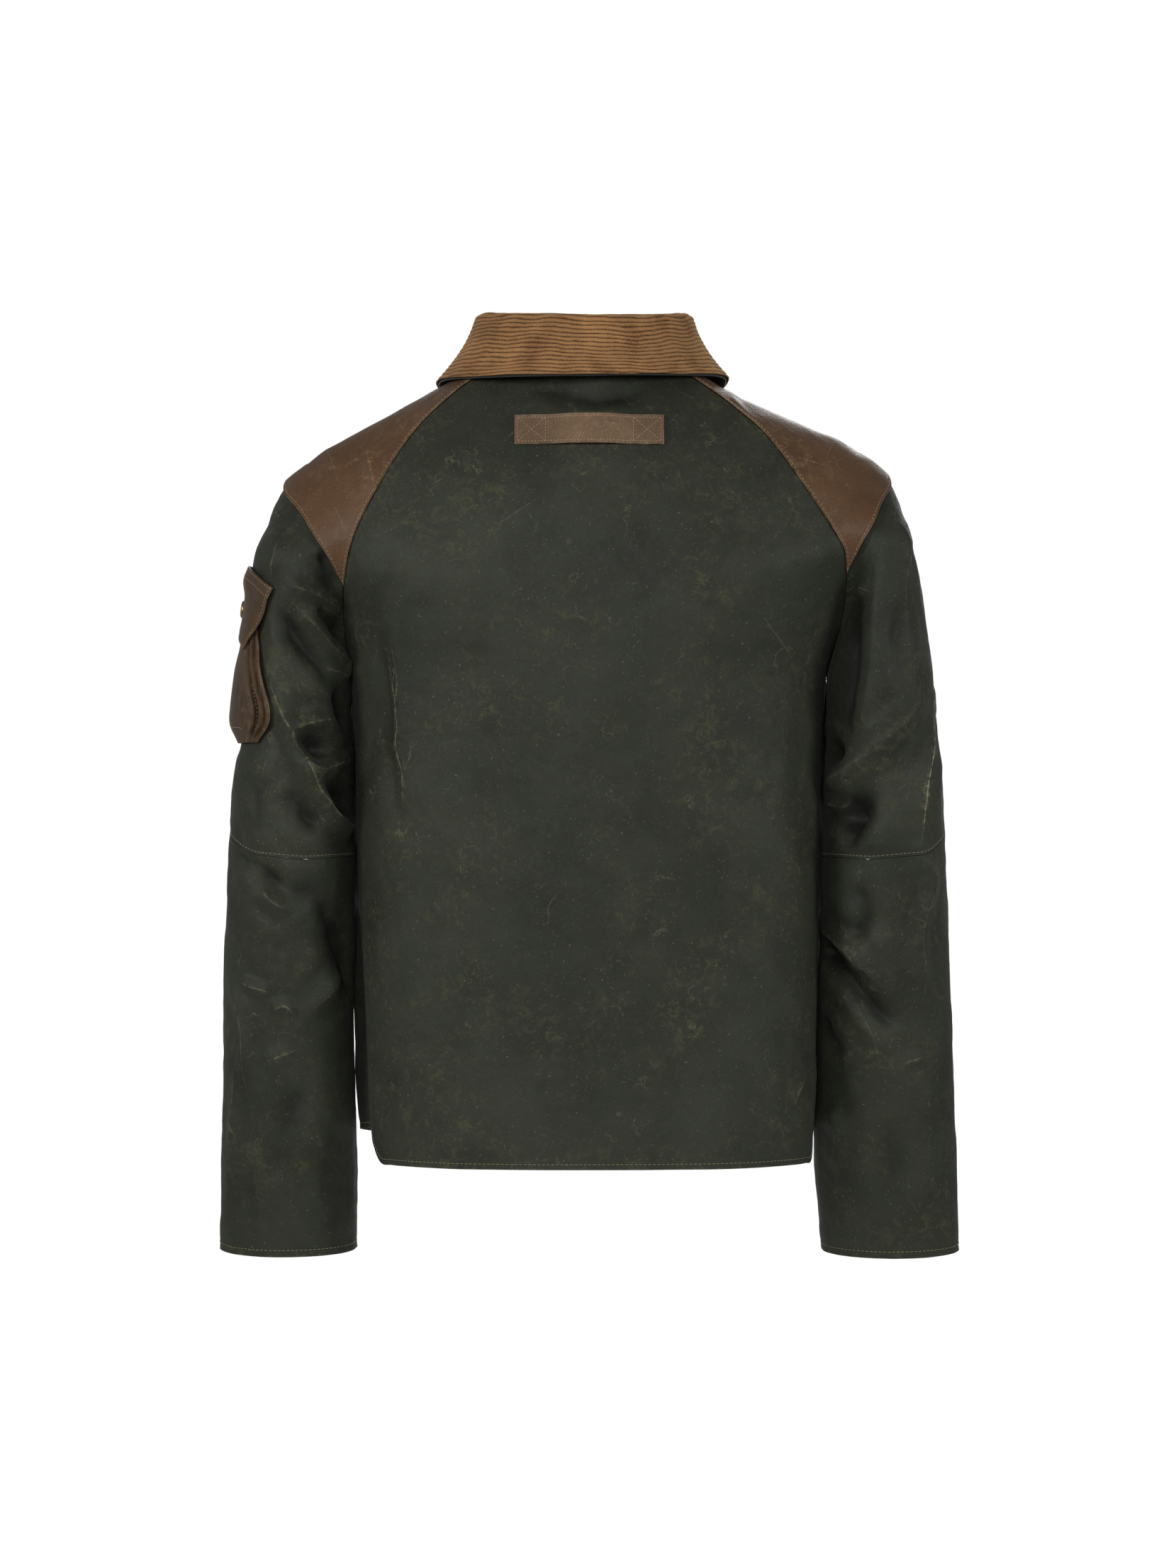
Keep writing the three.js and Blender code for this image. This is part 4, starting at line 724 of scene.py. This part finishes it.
for side, sign in (("left", -1), ("right", 1)):
    core = [(sign * x, y, z) for x, y, z in SLEEVE_CORE]
    front_creases = [([(sign * x + (6 if sign < 0 else 0), z - 4 * sign) for x, z in line], height, width)
                     for line, height, width in SLEEVE_FRONT_CREASES]
    parts = [
        ("sleeve_upper_", UNDERARM_ROW, (sign * 0.056, -0.039, 0), (sign * 0.076, 0.018, -0.004)),
        ("sleeve_lower_", 0, (sign * 0.184, -0.005, -0.47), (sign * 0.285, 0, -0.45)),
    ]
    for part, rings_from, corner, middle in parts:
        node = part + side
        points = outer_grid(node, SLEEVE_COLUMNS, corner, middle, core, WAXED_WALL, rings_from)
        first_ring = 8 * rings_from
        points = close_rings(finer(finer(points, 8, 0), 8, 1), first_ring)
        normals = close_rings(grid_normals(points, core), first_ring)
        relief, marks = crease(points, normals, SLEEVE_CREASES[side], -1, SLEEVE_FOLD_DEPTH)
        front_relief, front_marks = crease(points, normals, front_creases, 1, SLEEVE_FOLD_DEPTH)
        relief += front_relief
        marks = np.where(front_marks[..., :1] > marks[..., :1], front_marks, marks)
        relief += 1.1 * MM * crumple(points, 0.055, 11 + sign) + 0.4 * MM * crumple(points, 0.018, 14 + sign)
        outside = normals[..., 0] * sign > 0
        held = 1 - smooth_step(
            np.abs(normals[..., 1]), np.where(outside, 0.25, 0.1), np.where(outside, 0.6, 0.36))
        relief += (np.clip(relief, -HELD_FOLD, HELD_FOLD) - relief) * held
        beside_front = smooth_step(-sign * normals[..., 0], 0.45, 0.7) * smooth_step(normals[..., 1], 0.05, 0.3)
        relief += (np.minimum(relief, 0) - relief) * beside_front
        if side == "left":
            beside_pocket = np.maximum(POCKET_PLACE[0] - points[..., 2], points[..., 2] - POCKET_PLACE[1])
            beside_pocket = np.maximum(beside_pocket, POCKET_PLACE[2] + points[..., 0])
            under_pocket = 1 - smooth_step(beside_pocket, 0, 9 * MM)
            relief += (np.minimum(relief, 0) - UNDER_POCKET - relief) * under_pocket
        relief = close_rings(relief, first_ring)
        marks = close_rings(marks, first_ring)
        if rings_from:
            seams = np.minimum(run_from(points, "left"), run_from(points, "right"))
            seams[first_ring:] = np.inf
            relief *= smooth_step(seams, 0, 10 * MM)
            relief *= smooth_step(-points[..., 2], UNDER_PATCH, UNDER_PATCH + 0.09)
            relief *= smooth_step(run_from(points, "bottom"), 0, 11 * MM)
            relief -= 0.4 * MM * np.exp(-(((run_from(points, "bottom") - SEAM_STITCH) / (1.5 * MM)) ** 2))
        else:
            relief *= smooth_step(run_from(points, "top"), 0, 11 * MM)
            cuff_run = run_from(points, "bottom")
            relief -= 0.5 * MM * np.exp(-(((cuff_run - CUFF_STITCH) / (1.6 * MM)) ** 2))
            marks = worn_edge(marks, cuff_run, 0.7)
        shape = close_rings(points + normals * relief[..., None], first_ring)
        normals = close_rings(grid_normals(shape, core), first_ring)
        piece = cloth_piece(node + "_cloth", shape, normals, WAXED_WALL, waxed_cotton, cotton_lining, marks,
                            relief)
        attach(piece, "root")
        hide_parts(node)
        inset = SEAM_STITCH if rings_from else CUFF_STITCH
        sewn = stitches(node + "_stitches", [line_inside(shape, normals, "bottom", inset)], hem_thread)


# Shoulder patches
# Brown waxed canvas laid over the heads of the sleeves from the collar down, its lower edge
# turned under and stitched, its long edges caught in the raglan seams.

PATCH_WALL = 1.2 * MM
PATCH_COLUMNS = 20
PATCH_STITCH = 2.4 * MM
PATCH_CREASES = {
    "left": [
        ([(-172, -72), (-165, -100), (-160, -128)], 1.6, 6),
        ([(-212, -62), (-200, -80), (-190, -110)], 0.9, 8),
        ([(-225, -80), (-205, -95), (-188, -104)], -0.8, 9),
        ([(-118, -30), (-140, -55)], -0.6, 8),
        ([(-196, -118), (-186, -140)], 0.7, 7),
    ],
    "right": [
        ([(108, -22), (118, -45), (122, -62)], 1.3, 6),
        ([(150, -78), (172, -84), (196, -92)], 1.0, 5),
        ([(196, -60), (186, -80), (190, -104)], 0.9, 8),
        ([(206, -62), (212, -80)], -0.8, 8),
        ([(160, -110), (172, -128)], -0.7, 8),
    ],
}

brown_canvas = waxed_cloth("waxed canvas, brown", "#44301f", "#533c29", "#6e563d", "#8f7658", 0.46)
brown_thread = plain_cloth("cotton thread, tan", "#94795a", 0.6 * MM, 0.7)

for side, sign in (("left", -1), ("right", 1)):
    node = "shoulder_patch_" + side
    core = [(sign * x, y, z) for x, y, z in SLEEVE_CORE]
    points = outer_grid(node, PATCH_COLUMNS, (sign * 0.061, -0.041, -0.003), (sign * 0.08, 0.018, -0.006), core,
                        PATCH_WALL)
    points = finer(finer(points, 10, 0), 8, 1)
    normals = grid_normals(points, core)
    relief, marks = crease(points, normals, PATCH_CREASES[side], -1)
    relief += 0.45 * MM * crumple(points, 0.05, 21 + sign)
    border = np.minimum(np.minimum(run_from(points, "left"), run_from(points, "right")),
                        np.minimum(run_from(points, "bottom"), run_from(points, "top")))
    relief *= smooth_step(border, 0, 10 * MM)
    relief -= 0.35 * MM * np.exp(-(((border - PATCH_STITCH) / (1.2 * MM)) ** 2))
    marks = worn_edge(marks, border, 0.8)
    shape = points + normals * relief[..., None]
    normals = grid_normals(shape, core)
    piece = cloth_piece(node + "_cloth", shape, normals, PATCH_WALL, brown_canvas, brown_canvas, marks, relief)
    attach(piece, "root")
    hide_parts(node)
    sewn = stitches(node + "_stitches", [
        line_inside(shape, normals, edge, PATCH_STITCH) for edge in ("bottom", "left", "right")], brown_thread)


# Collar
# A turned-down collar: the top leaf is light brown corduroy whose ribs run along it, the under
# leaf dark waxed cotton. Thirteen ribs cover the fall, and four go over the fold.

COLLAR_COLUMNS = 26
CORDUROY_WALL = 1.3 * MM
UNDER_COLLAR_WALL = 1.1 * MM
LEAF_GAP = 0.44 * MM
RIB_HEIGHT = 0.85 * MM
STAND_ROWS, ROLL_ROWS, FALL_ROWS = 3, 4, 4
RIBS_ON_ROLL, RIBS_ON_FALL = 4, 13
RIB_POINTS = 8
NECK_RING = [(0.089 * math.sin(math.radians(a)), 0.01 - 0.085 * math.cos(math.radians(a)),
              -0.002 - 0.075 * ((1 - math.cos(math.radians(a))) / 2) ** 4.2) for a in range(-186, 187, 12)]


def through(points, at, axis):
    """Points of a grid at any places along it, on smooth curves through the ones that it has."""
    p = np.moveaxis(points, axis, 0)
    p = np.concatenate([2 * p[:1] - p[1:2], p, 2 * p[-1:] - p[-2:-1]])
    i = np.minimum(at.astype(int), len(p) - 4)
    t = (at - i)[:, None, None]
    a, b, c, d = p[i], p[i + 1], p[i + 2], p[i + 3]
    curve = b + 0.5 * t * (c - a + t * (2 * a - 5 * b + 4 * c - d + t * (3 * (b - c) + d - a)))
    return np.moveaxis(curve, 0, axis)


def corduroy_cloth():
    """Cotton corduroy with wide ribs. The pile is pale where it stands up along the crest of each rib,
    and dark in the grooves, partly where the ground weave shows and partly as painted shade, with streaks
    along the ribs where it is brushed."""
    look = bpy.data.materials.new("cotton corduroy, light brown")
    look.use_nodes = True
    tree = look.node_tree
    tree.nodes.clear()
    place = add_node(tree, "ShaderNodeTexCoord").outputs["Object"]
    rib = add_node(tree, "ShaderNodeAttribute", attribute_name="rubbed")
    pile = add_node(tree, "ShaderNodeTexNoise", {
        "Vector": place, "Scale": 1 / 0.0011, "Detail": 3.0, "Roughness": 0.7})
    brushed = add_node(tree, "ShaderNodeTexNoise", {
        "Vector": place, "Scale": 1 / 0.022, "Detail": 4.0, "Distortion": 0.5})
    lit = add_node(tree, "ShaderNodeMath", {0: rib.outputs["Fac"], 1: add_node(tree, "ShaderNodeMapRange", {
        "Value": pile.outputs["Fac"], "From Min": 0.3, "From Max": 0.7, "To Min": -0.22, "To Max": 0.22,
    }).outputs["Result"]}, operation="ADD", use_clamp=True)
    # Dark in the grooves, painted shade over the bare ground weave, and pale on the crests of the pile
    ramp = add_node(tree, "ShaderNodeValToRGB", {"Fac": lit.outputs[0]})
    ramp.color_ramp.elements[0].position = 0.2
    ramp.color_ramp.elements[0].color = linear("#251508")
    ramp.color_ramp.elements[1].position = 0.95
    ramp.color_ramp.elements[1].color = linear("#8f6a45")
    middle = ramp.color_ramp.elements.new(0.6)
    middle.color = linear("#6a4a2e")
    shade = add_node(tree, "ShaderNodeMapRange", {
        "Value": brushed.outputs["Fac"], "From Min": 0.3, "From Max": 0.7, "To Min": 0.76, "To Max": 1.14})
    colour = add_node(tree, "ShaderNodeVectorMath", {
        0: ramp.outputs["Color"], "Scale": shade.outputs["Result"]}, operation="SCALE")
    bump = add_node(tree, "ShaderNodeBump", {"Height": pile.outputs["Fac"], "Strength": 0.5, "Distance": 0.0005})
    shader = add_node(tree, "ShaderNodeBsdfPrincipled", {
        "Base Color": colour.outputs[0], "Roughness": 0.9, "Normal": bump.outputs[0],
        "Specular IOR Level": 0.15, "Sheen Weight": 0.35, "Sheen Roughness": 0.4,
        "Sheen Tint": linear("#d9b98c")})
    add_node(tree, "ShaderNodeOutputMaterial", {"Surface": shader.outputs[0]})
    return look


collar_points = outer_grid("under_collar", COLLAR_COLUMNS, (-0.003, 0.082, -0.075), (0, -0.062, 0), NECK_RING,
                           UNDER_COLLAR_WALL)
under_look = plain_cloth("waxed cotton, black-green", "#20211c", 1.3 * MM, 0.62)
under_shape = finer(finer(collar_points, 4, 0), 6, 1)
under_normals = grid_normals(under_shape, NECK_RING)
under_piece = cloth_piece("under_collar_leaf", under_shape, under_normals, UNDER_COLLAR_WALL, under_look, under_look)
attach(under_piece, "root")
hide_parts("under_collar")

collar_rows = np.concatenate([
    np.linspace(0, STAND_ROWS, 10)[:-1],
    np.linspace(STAND_ROWS, STAND_ROWS + ROLL_ROWS, RIBS_ON_ROLL * RIB_POINTS + 1)[:-1],
    np.linspace(STAND_ROWS + ROLL_ROWS, STAND_ROWS + ROLL_ROWS + FALL_ROWS, RIBS_ON_FALL * RIB_POINTS + 1)])
on_roll = np.clip(collar_rows - STAND_ROWS, 0, ROLL_ROWS) / ROLL_ROWS
on_fall = np.clip(collar_rows - STAND_ROWS - ROLL_ROWS, 0, FALL_ROWS) / FALL_ROWS
rib_at = RIBS_ON_ROLL * on_roll + RIBS_ON_FALL * on_fall
collar_shape = finer(through(collar_points, collar_rows, 0), 8, 1)
collar_normals = grid_normals(collar_shape, NECK_RING)
wander = 1.2 * crumple(collar_shape, 0.08, 33) + 0.25 * crumple(collar_shape, 0.025, 34)
wander *= smooth_step(rib_at, 0, 3)[:, None]
rib = np.abs(np.sin(np.pi * (rib_at[:, None] + wander))) ** 0.5 * (1 + 0.22 * crumple(collar_shape, 0.018, 31))
collar_lift = LEAF_GAP + CORDUROY_WALL + RIB_HEIGHT * rib + 0.5 * MM * crumple(collar_shape, 0.045, 32)
collar_shape = collar_shape + collar_normals * collar_lift[..., None]
corduroy = corduroy_cloth()
# The rib profile goes in the rubbed layer; the corduroy darkens its grooves by it, as painted shade
collar_piece = cloth_piece("top_collar_leaf", collar_shape, collar_normals, CORDUROY_WALL * 0.8, corduroy, corduroy,
                           np.stack([rib, np.zeros_like(rib)], axis=-1))
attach(collar_piece, "root")
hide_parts("top_collar")


# Back tab
# A strip of brown waxed canvas across the yoke, turned in along its long sides and sewn down
# at both ends with a boxed cross. It is left bare.

TAB_COLUMNS = 14
TAB_BOX = 23.5 * MM
TAB_WIDTH = 114 * MM
TAB_MARGIN = 0.09


def line_on(points, normals, start, end, count=24):
    """A line on the cloth between two places, each given as a share across and down."""
    rows, columns = points.shape[:2]
    line = []
    for grid in (points, normals):
        made = []
        for share in np.linspace(0, 1, count):
            across = (start[0] + (end[0] - start[0]) * share) * (columns - 1)
            down = (start[1] + (end[1] - start[1]) * share) * (rows - 1)
            i, j = min(int(down), rows - 2), min(int(across), columns - 2)
            a, b = down - i, across - j
            made.append((grid[i, j] * (1 - b) + grid[i, j + 1] * b) * (1 - a)
                        + (grid[i + 1, j] * (1 - b) + grid[i + 1, j + 1] * b) * a)
        line.append(np.array(made))
    return tuple(line)


tab_canvas = waxed_cloth("waxed canvas, worn brown", "#554333", "#69543f", "#7d6850", "#99866e", 0.55)
tab_points = outer_grid("back_tab", TAB_COLUMNS, (-0.056, -0.09, -0.05), (0, -0.09, -0.05), BODY_CORE,
                        PATCH_WALL)
tab_points = finer(finer(tab_points, 8, 0), 8, 1)
tab_normals = grid_normals(tab_points, BODY_CORE)
tab_border = np.minimum(run_from(tab_points, "top"), run_from(tab_points, "bottom"))
tab_ends = np.minimum(run_from(tab_points, "left"), run_from(tab_points, "right"))
tab_rim = np.minimum(tab_border, tab_ends)
tab_relief = 0.25 * MM * crumple(tab_points, 0.02, 41) + 0.25 * MM * np.exp(-((tab_border / (2 * MM)) ** 2))
tab_marks = worn_edge(np.zeros(tab_rim.shape + (2,)) + [0, 50], tab_rim, 0.8)
tab_shape = tab_points + tab_normals * tab_relief[..., None]
tab_normals = grid_normals(tab_shape, BODY_CORE)
tab_piece = cloth_piece("back_tab_strip", tab_shape, tab_normals, PATCH_WALL, tab_canvas, tab_canvas, tab_marks)
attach(tab_piece, "root")
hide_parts("back_tab")
tab_lines = []
for near, far in ((0.018, TAB_BOX / TAB_WIDTH), (0.982, 1 - TAB_BOX / TAB_WIDTH)):
    low, high = TAB_MARGIN, 1 - TAB_MARGIN
    for start, end in (((near, low), (near, high)), ((far, low), (far, high)), ((near, low), (far, high)),
                       ((near, high), (far, low))):
        tab_lines.append(line_on(tab_shape, tab_normals, start, end))
for edge in (low, high):
    tab_lines.append(line_on(tab_shape, tab_normals, (0.018, edge), (0.982, edge), 96))
tab_thread = plain_cloth("cotton thread, pale brown", "#a88d6c", 0.6 * MM, 0.7)
tab_sewn = stitches("back_tab_stitches", tab_lines, tab_thread, length=1.7 * MM, gap=0.8 * MM, thickness=0.4 * MM)


# Sleeve pocket
# A bellows pocket of brown waxed canvas on the outside of the left sleeve, with a pointed flap
# over its mouth. Its sides fold in, and its edges are stitched.

POCKET_COLUMNS = 12
POCKET_STITCH = 2.0 * MM
FLAP_ROWS_OF_STITCHES = (1.8 * MM, 8.5 * MM)
FACE_EDGE = 17.5 * MM  # from the sewn edge, over the folds of the bellows, to the face of the pocket
# The folds of the bellows: how far in from the sewn edge, the height and the width, in mm.
BELLOWS = [(4.6, -2.2, 1.4), (7.6, 1.2, 1.7), (11.0, -4.6, 1.7), (15.0, 0.8, 2.2)]
BASE_STITCH = 15 * MM
UNDER_FLAP = 0.3 * MM  # the pocket keeps this much below its flap

pocket_canvas = waxed_cloth("waxed canvas, dark brown", "#35271a", "#453423", "#5c4a34", "#8a7353", 0.5)
left_core = [(-x, y, z) for x, y, z in SLEEVE_CORE]

pocket_points = outer_grid("pocket_body", POCKET_COLUMNS, (-0.26, -0.045, -0.186), (-0.27, 0, -0.186), left_core,
                           PATCH_WALL)
pocket_points = finer(finer(pocket_points, 8, 0), 12, 1)
pocket_normals = grid_normals(pocket_points, left_core)
pocket_sides = np.minimum(run_from(pocket_points, "left"), run_from(pocket_points, "right"))
pocket_base = run_from(pocket_points, "bottom")
pocket_relief = 0.5 * MM * crumple(pocket_points, 0.03, 51) * smooth_step(pocket_sides, 0, 20 * MM)
for inwards, height, width in BELLOWS:
    pocket_relief += height * MM * np.exp(-(((pocket_sides / MM - inwards) / width) ** 2))
pocket_relief *= smooth_step(pocket_base, 0, 14 * MM)
under_flap = smooth_step(pocket_points[..., 2], -236 * MM, -228 * MM)
pocket_relief += (np.minimum(pocket_relief, 0) - UNDER_FLAP - pocket_relief) * under_flap
pocket_marks = np.zeros(pocket_sides.shape + (2,)) + [0, 50]
pocket_marks = worn_edge(pocket_marks, np.abs(pocket_sides - FACE_EDGE), 0.7)
pocket_marks = worn_edge(pocket_marks, pocket_sides, 0.6)
pocket_shape = pocket_points + pocket_normals * pocket_relief[..., None]
pocket_normals = grid_normals(pocket_shape, left_core)
pocket_piece = cloth_piece("pocket_body_cloth", pocket_shape, pocket_normals, PATCH_WALL, pocket_canvas,
                           pocket_canvas, pocket_marks, pocket_relief)
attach(pocket_piece, "root")
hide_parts("pocket_body")
base_points, base_normals = line_inside(pocket_shape, pocket_normals, "bottom", BASE_STITCH)
face = slice(len(base_points) // 5, len(base_points) - len(base_points) // 5)
pocket_sewn = stitches("pocket_body_stitches", [
    line_inside(pocket_shape, pocket_normals, "left", FACE_EDGE),
    line_inside(pocket_shape, pocket_normals, "right", FACE_EDGE),
    (base_points[face], base_normals[face]),
], brown_thread, length=2.2 * MM, thickness=0.45 * MM)

flap_points = outer_grid("pocket_flap", POCKET_COLUMNS, (-0.235, -0.05, -0.182), (-0.265, 0, -0.165), left_core,
                         PATCH_WALL)
flap_points = finer(finer(flap_points, 8, 0), 8, 1)
flap_normals = grid_normals(flap_points, left_core)
flap_border = np.minimum(np.minimum(run_from(flap_points, "left"), run_from(flap_points, "right")),
                         run_from(flap_points, "bottom"))
flap_relief = 0.4 * MM * (1 + crumple(flap_points, 0.03, 52)) * smooth_step(flap_border, 0, 8 * MM)
flap_marks = worn_edge(np.zeros(flap_border.shape + (2,)) + [0, 50], flap_border, 0.8)
flap_shape = flap_points + flap_normals * flap_relief[..., None]
flap_normals = grid_normals(flap_shape, left_core)
flap_piece = cloth_piece("pocket_flap_cloth", flap_shape, flap_normals, PATCH_WALL, pocket_canvas, pocket_canvas,
                         flap_marks)
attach(flap_piece, "root")
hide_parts("pocket_flap")
flap_sewn = stitches("pocket_flap_stitches", [
    line_inside(flap_shape, flap_normals, edge, POCKET_STITCH) for edge in ("bottom", "left", "right")
] + [line_inside(flap_shape, flap_normals, "top", down) for down in FLAP_ROWS_OF_STITCHES],
    brown_thread, length=2.2 * MM, thickness=0.45 * MM)


# Press studs
# Brass press studs, domed and pressed through the cloth: a rolled ring round a sunk middle.

# Radius and height, in mm, from the middle out to the foot of the rim.
STUD_PROFILE = [(0, 0.9), (2.6, 0.95), (3.4, 1.25), (4.1, 2.0), (5.0, 2.45), (6.0, 2.25), (6.8, 1.4),
                (7.0, 0.4), (6.6, 0)]
STUD_TURNS = 32

brass = bpy.data.materials.new("brass, stamped and worn")
brass.use_nodes = True
brass_tree = brass.node_tree
brass_tree.nodes.clear()
brass_place = add_node(brass_tree, "ShaderNodeTexCoord").outputs["Object"]
tarnish = add_node(brass_tree, "ShaderNodeTexNoise", {"Vector": brass_place, "Scale": 1 / 0.003, "Detail": 4.0})
brass_colour = add_node(brass_tree, "ShaderNodeMix", {
    "Factor": tarnish.outputs["Fac"], "A": linear("#57462a"), "B": linear("#a58d5c")}, data_type="RGBA")
brass_rough = add_node(brass_tree, "ShaderNodeMapRange", {
    "Value": tarnish.outputs["Fac"], "To Min": 0.22, "To Max": 0.5})
brass_shader = add_node(brass_tree, "ShaderNodeBsdfPrincipled", {
    "Base Color": brass_colour.outputs["Result"], "Metallic": 1.0, "Roughness": brass_rough.outputs["Result"]})
add_node(brass_tree, "ShaderNodeOutputMaterial", {"Surface": brass_shader.outputs[0]})

for node in sorted(name for name in nodes if "stud" in name):
    places = np.array([vert.co for vert in nodes[node].data.vertices])
    centre = places.mean(axis=0)
    _, _, axes = np.linalg.svd(places - centre, full_matrices=False)
    outward = axes[2] * np.sign(axes[2] @ (np.array([-1, 0, 0]) if "pocket" in node else np.array([0, 1, 0])))
    foot = centre + outward * ((places - centre) @ outward).min()
    rim = Vector(outward).to_track_quat("Z", "Y").to_matrix()
    verts = [tuple(foot + np.array(rim @ Vector((0, 0, STUD_PROFILE[0][1] * MM))))]
    for radius, height in STUD_PROFILE[1:]:
        for k in range(STUD_TURNS):
            angle = 2 * math.pi * k / STUD_TURNS
            at = Vector((radius * math.cos(angle), radius * math.sin(angle), height)) * MM
            verts.append(tuple(foot + np.array(rim @ at)))
    faces = [(0, 1 + k, 1 + (k + 1) % STUD_TURNS) for k in range(STUD_TURNS)]
    for ring in range(len(STUD_PROFILE) - 2):
        for k in range(STUD_TURNS):
            a, b = 1 + ring * STUD_TURNS + k, 1 + ring * STUD_TURNS + (k + 1) % STUD_TURNS
            faces.append((a, a + STUD_TURNS, b + STUD_TURNS, b))
    faces.append([1 + (len(STUD_PROFILE) - 2) * STUD_TURNS + k for k in reversed(range(STUD_TURNS))])
    mesh = bpy.data.meshes.new(node + "_cap")
    mesh.from_pydata(verts, [], faces)
    mesh.materials.append(brass)
    piece = bpy.data.objects.new(node + "_cap", mesh)
    bpy.context.scene.collection.objects.link(piece)
    bpy.context.view_layer.objects.active = piece
    piece.select_set(True)
    bpy.ops.object.mode_set(mode="EDIT")
    bpy.ops.mesh.select_all(action="SELECT")
    bpy.ops.mesh.normals_make_consistent(inside=False)
    bpy.ops.object.mode_set(mode="OBJECT")
    bpy.ops.object.shade_smooth_by_angle(angle=math.radians(50))
    bpy.ops.object.select_all(action="DESELECT")
    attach(piece, "root")
    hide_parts(node)


# Floor, light and camera
# A plain pale floor, soft boxes behind the jacket, at both sides and in front, a white backdrop
# that fills the picture, and the camera level with the jacket, straight behind it and 3 m away.

FLOOR_HEIGHT = -1.2
CAMERA_AWAY = 3.0
CAMERA_HEIGHT = -0.3332
FRAME_HEIGHT = 1.239  # what the picture takes in at the jacket's middle plane
ROOM_LIGHT = 0.25

bpy.ops.mesh.primitive_plane_add(size=2, location=(0, 0, FLOOR_HEIGHT))
floor = bpy.context.object
floor.name = "floor"
floor_look = bpy.data.materials.new("matt white paper")
floor_look.use_nodes = True
floor_shader = floor_look.node_tree.nodes["Principled BSDF"]
floor_shader.inputs["Base Color"].default_value = linear("#f4f4f2")
floor_shader.inputs["Roughness"].default_value = 0.9
floor.data.materials.append(floor_look)

world = bpy.data.worlds.new("white studio")
world.use_nodes = True
room = world.node_tree
towards = add_node(room, "ShaderNodeVectorMath", {
    0: add_node(room, "ShaderNodeTexCoord").outputs["Generated"], 1: (0, 1, 0)}, operation="DOT_PRODUCT")
backdrop = add_node(room, "ShaderNodeMapRange", {
    "Value": towards.outputs["Value"], "From Min": 0.93, "From Max": 0.966, "To Min": ROOM_LIGHT, "To Max": 1.0,
}, interpolation_type="SMOOTHSTEP")
room.nodes["Background"].inputs["Color"].default_value = (1, 1, 1, 1)
room.links.new(backdrop.outputs["Result"], room.nodes["Background"].inputs["Strength"])
bpy.context.scene.world = world
bpy.context.scene.view_settings.view_transform = "Standard"

for name, place, watts, across in (
    ("key soft box", (-0.3, -3.2, 0.5), 46, 1.2),
    ("left soft box", (-2.4, -1.7, 0.5), 40, 1.0),
    ("right soft box", (2.5, -1.6, 0.4), 34, 1.0),
    ("front soft box", (0.4, 3.0, 0.8), 45, 1.8),
):
    lamp = bpy.data.lights.new(name, "AREA")
    lamp.energy = watts
    lamp.size = across
    stand = bpy.data.objects.new(name, lamp)
    stand.location = place
    stand.rotation_euler = (Vector((0, 0, -0.33)) - Vector(place)).to_track_quat("-Z", "Y").to_euler()
    bpy.context.scene.collection.objects.link(stand)

bpy.ops.object.camera_add(location=(0, -CAMERA_AWAY, CAMERA_HEIGHT), rotation=(math.radians(90), 0, 0))
camera = bpy.context.object
camera.data.sensor_fit = "VERTICAL"
camera.data.sensor_height = 24
camera.data.lens = 24 * CAMERA_AWAY / FRAME_HEIGHT
bpy.context.scene.camera = camera
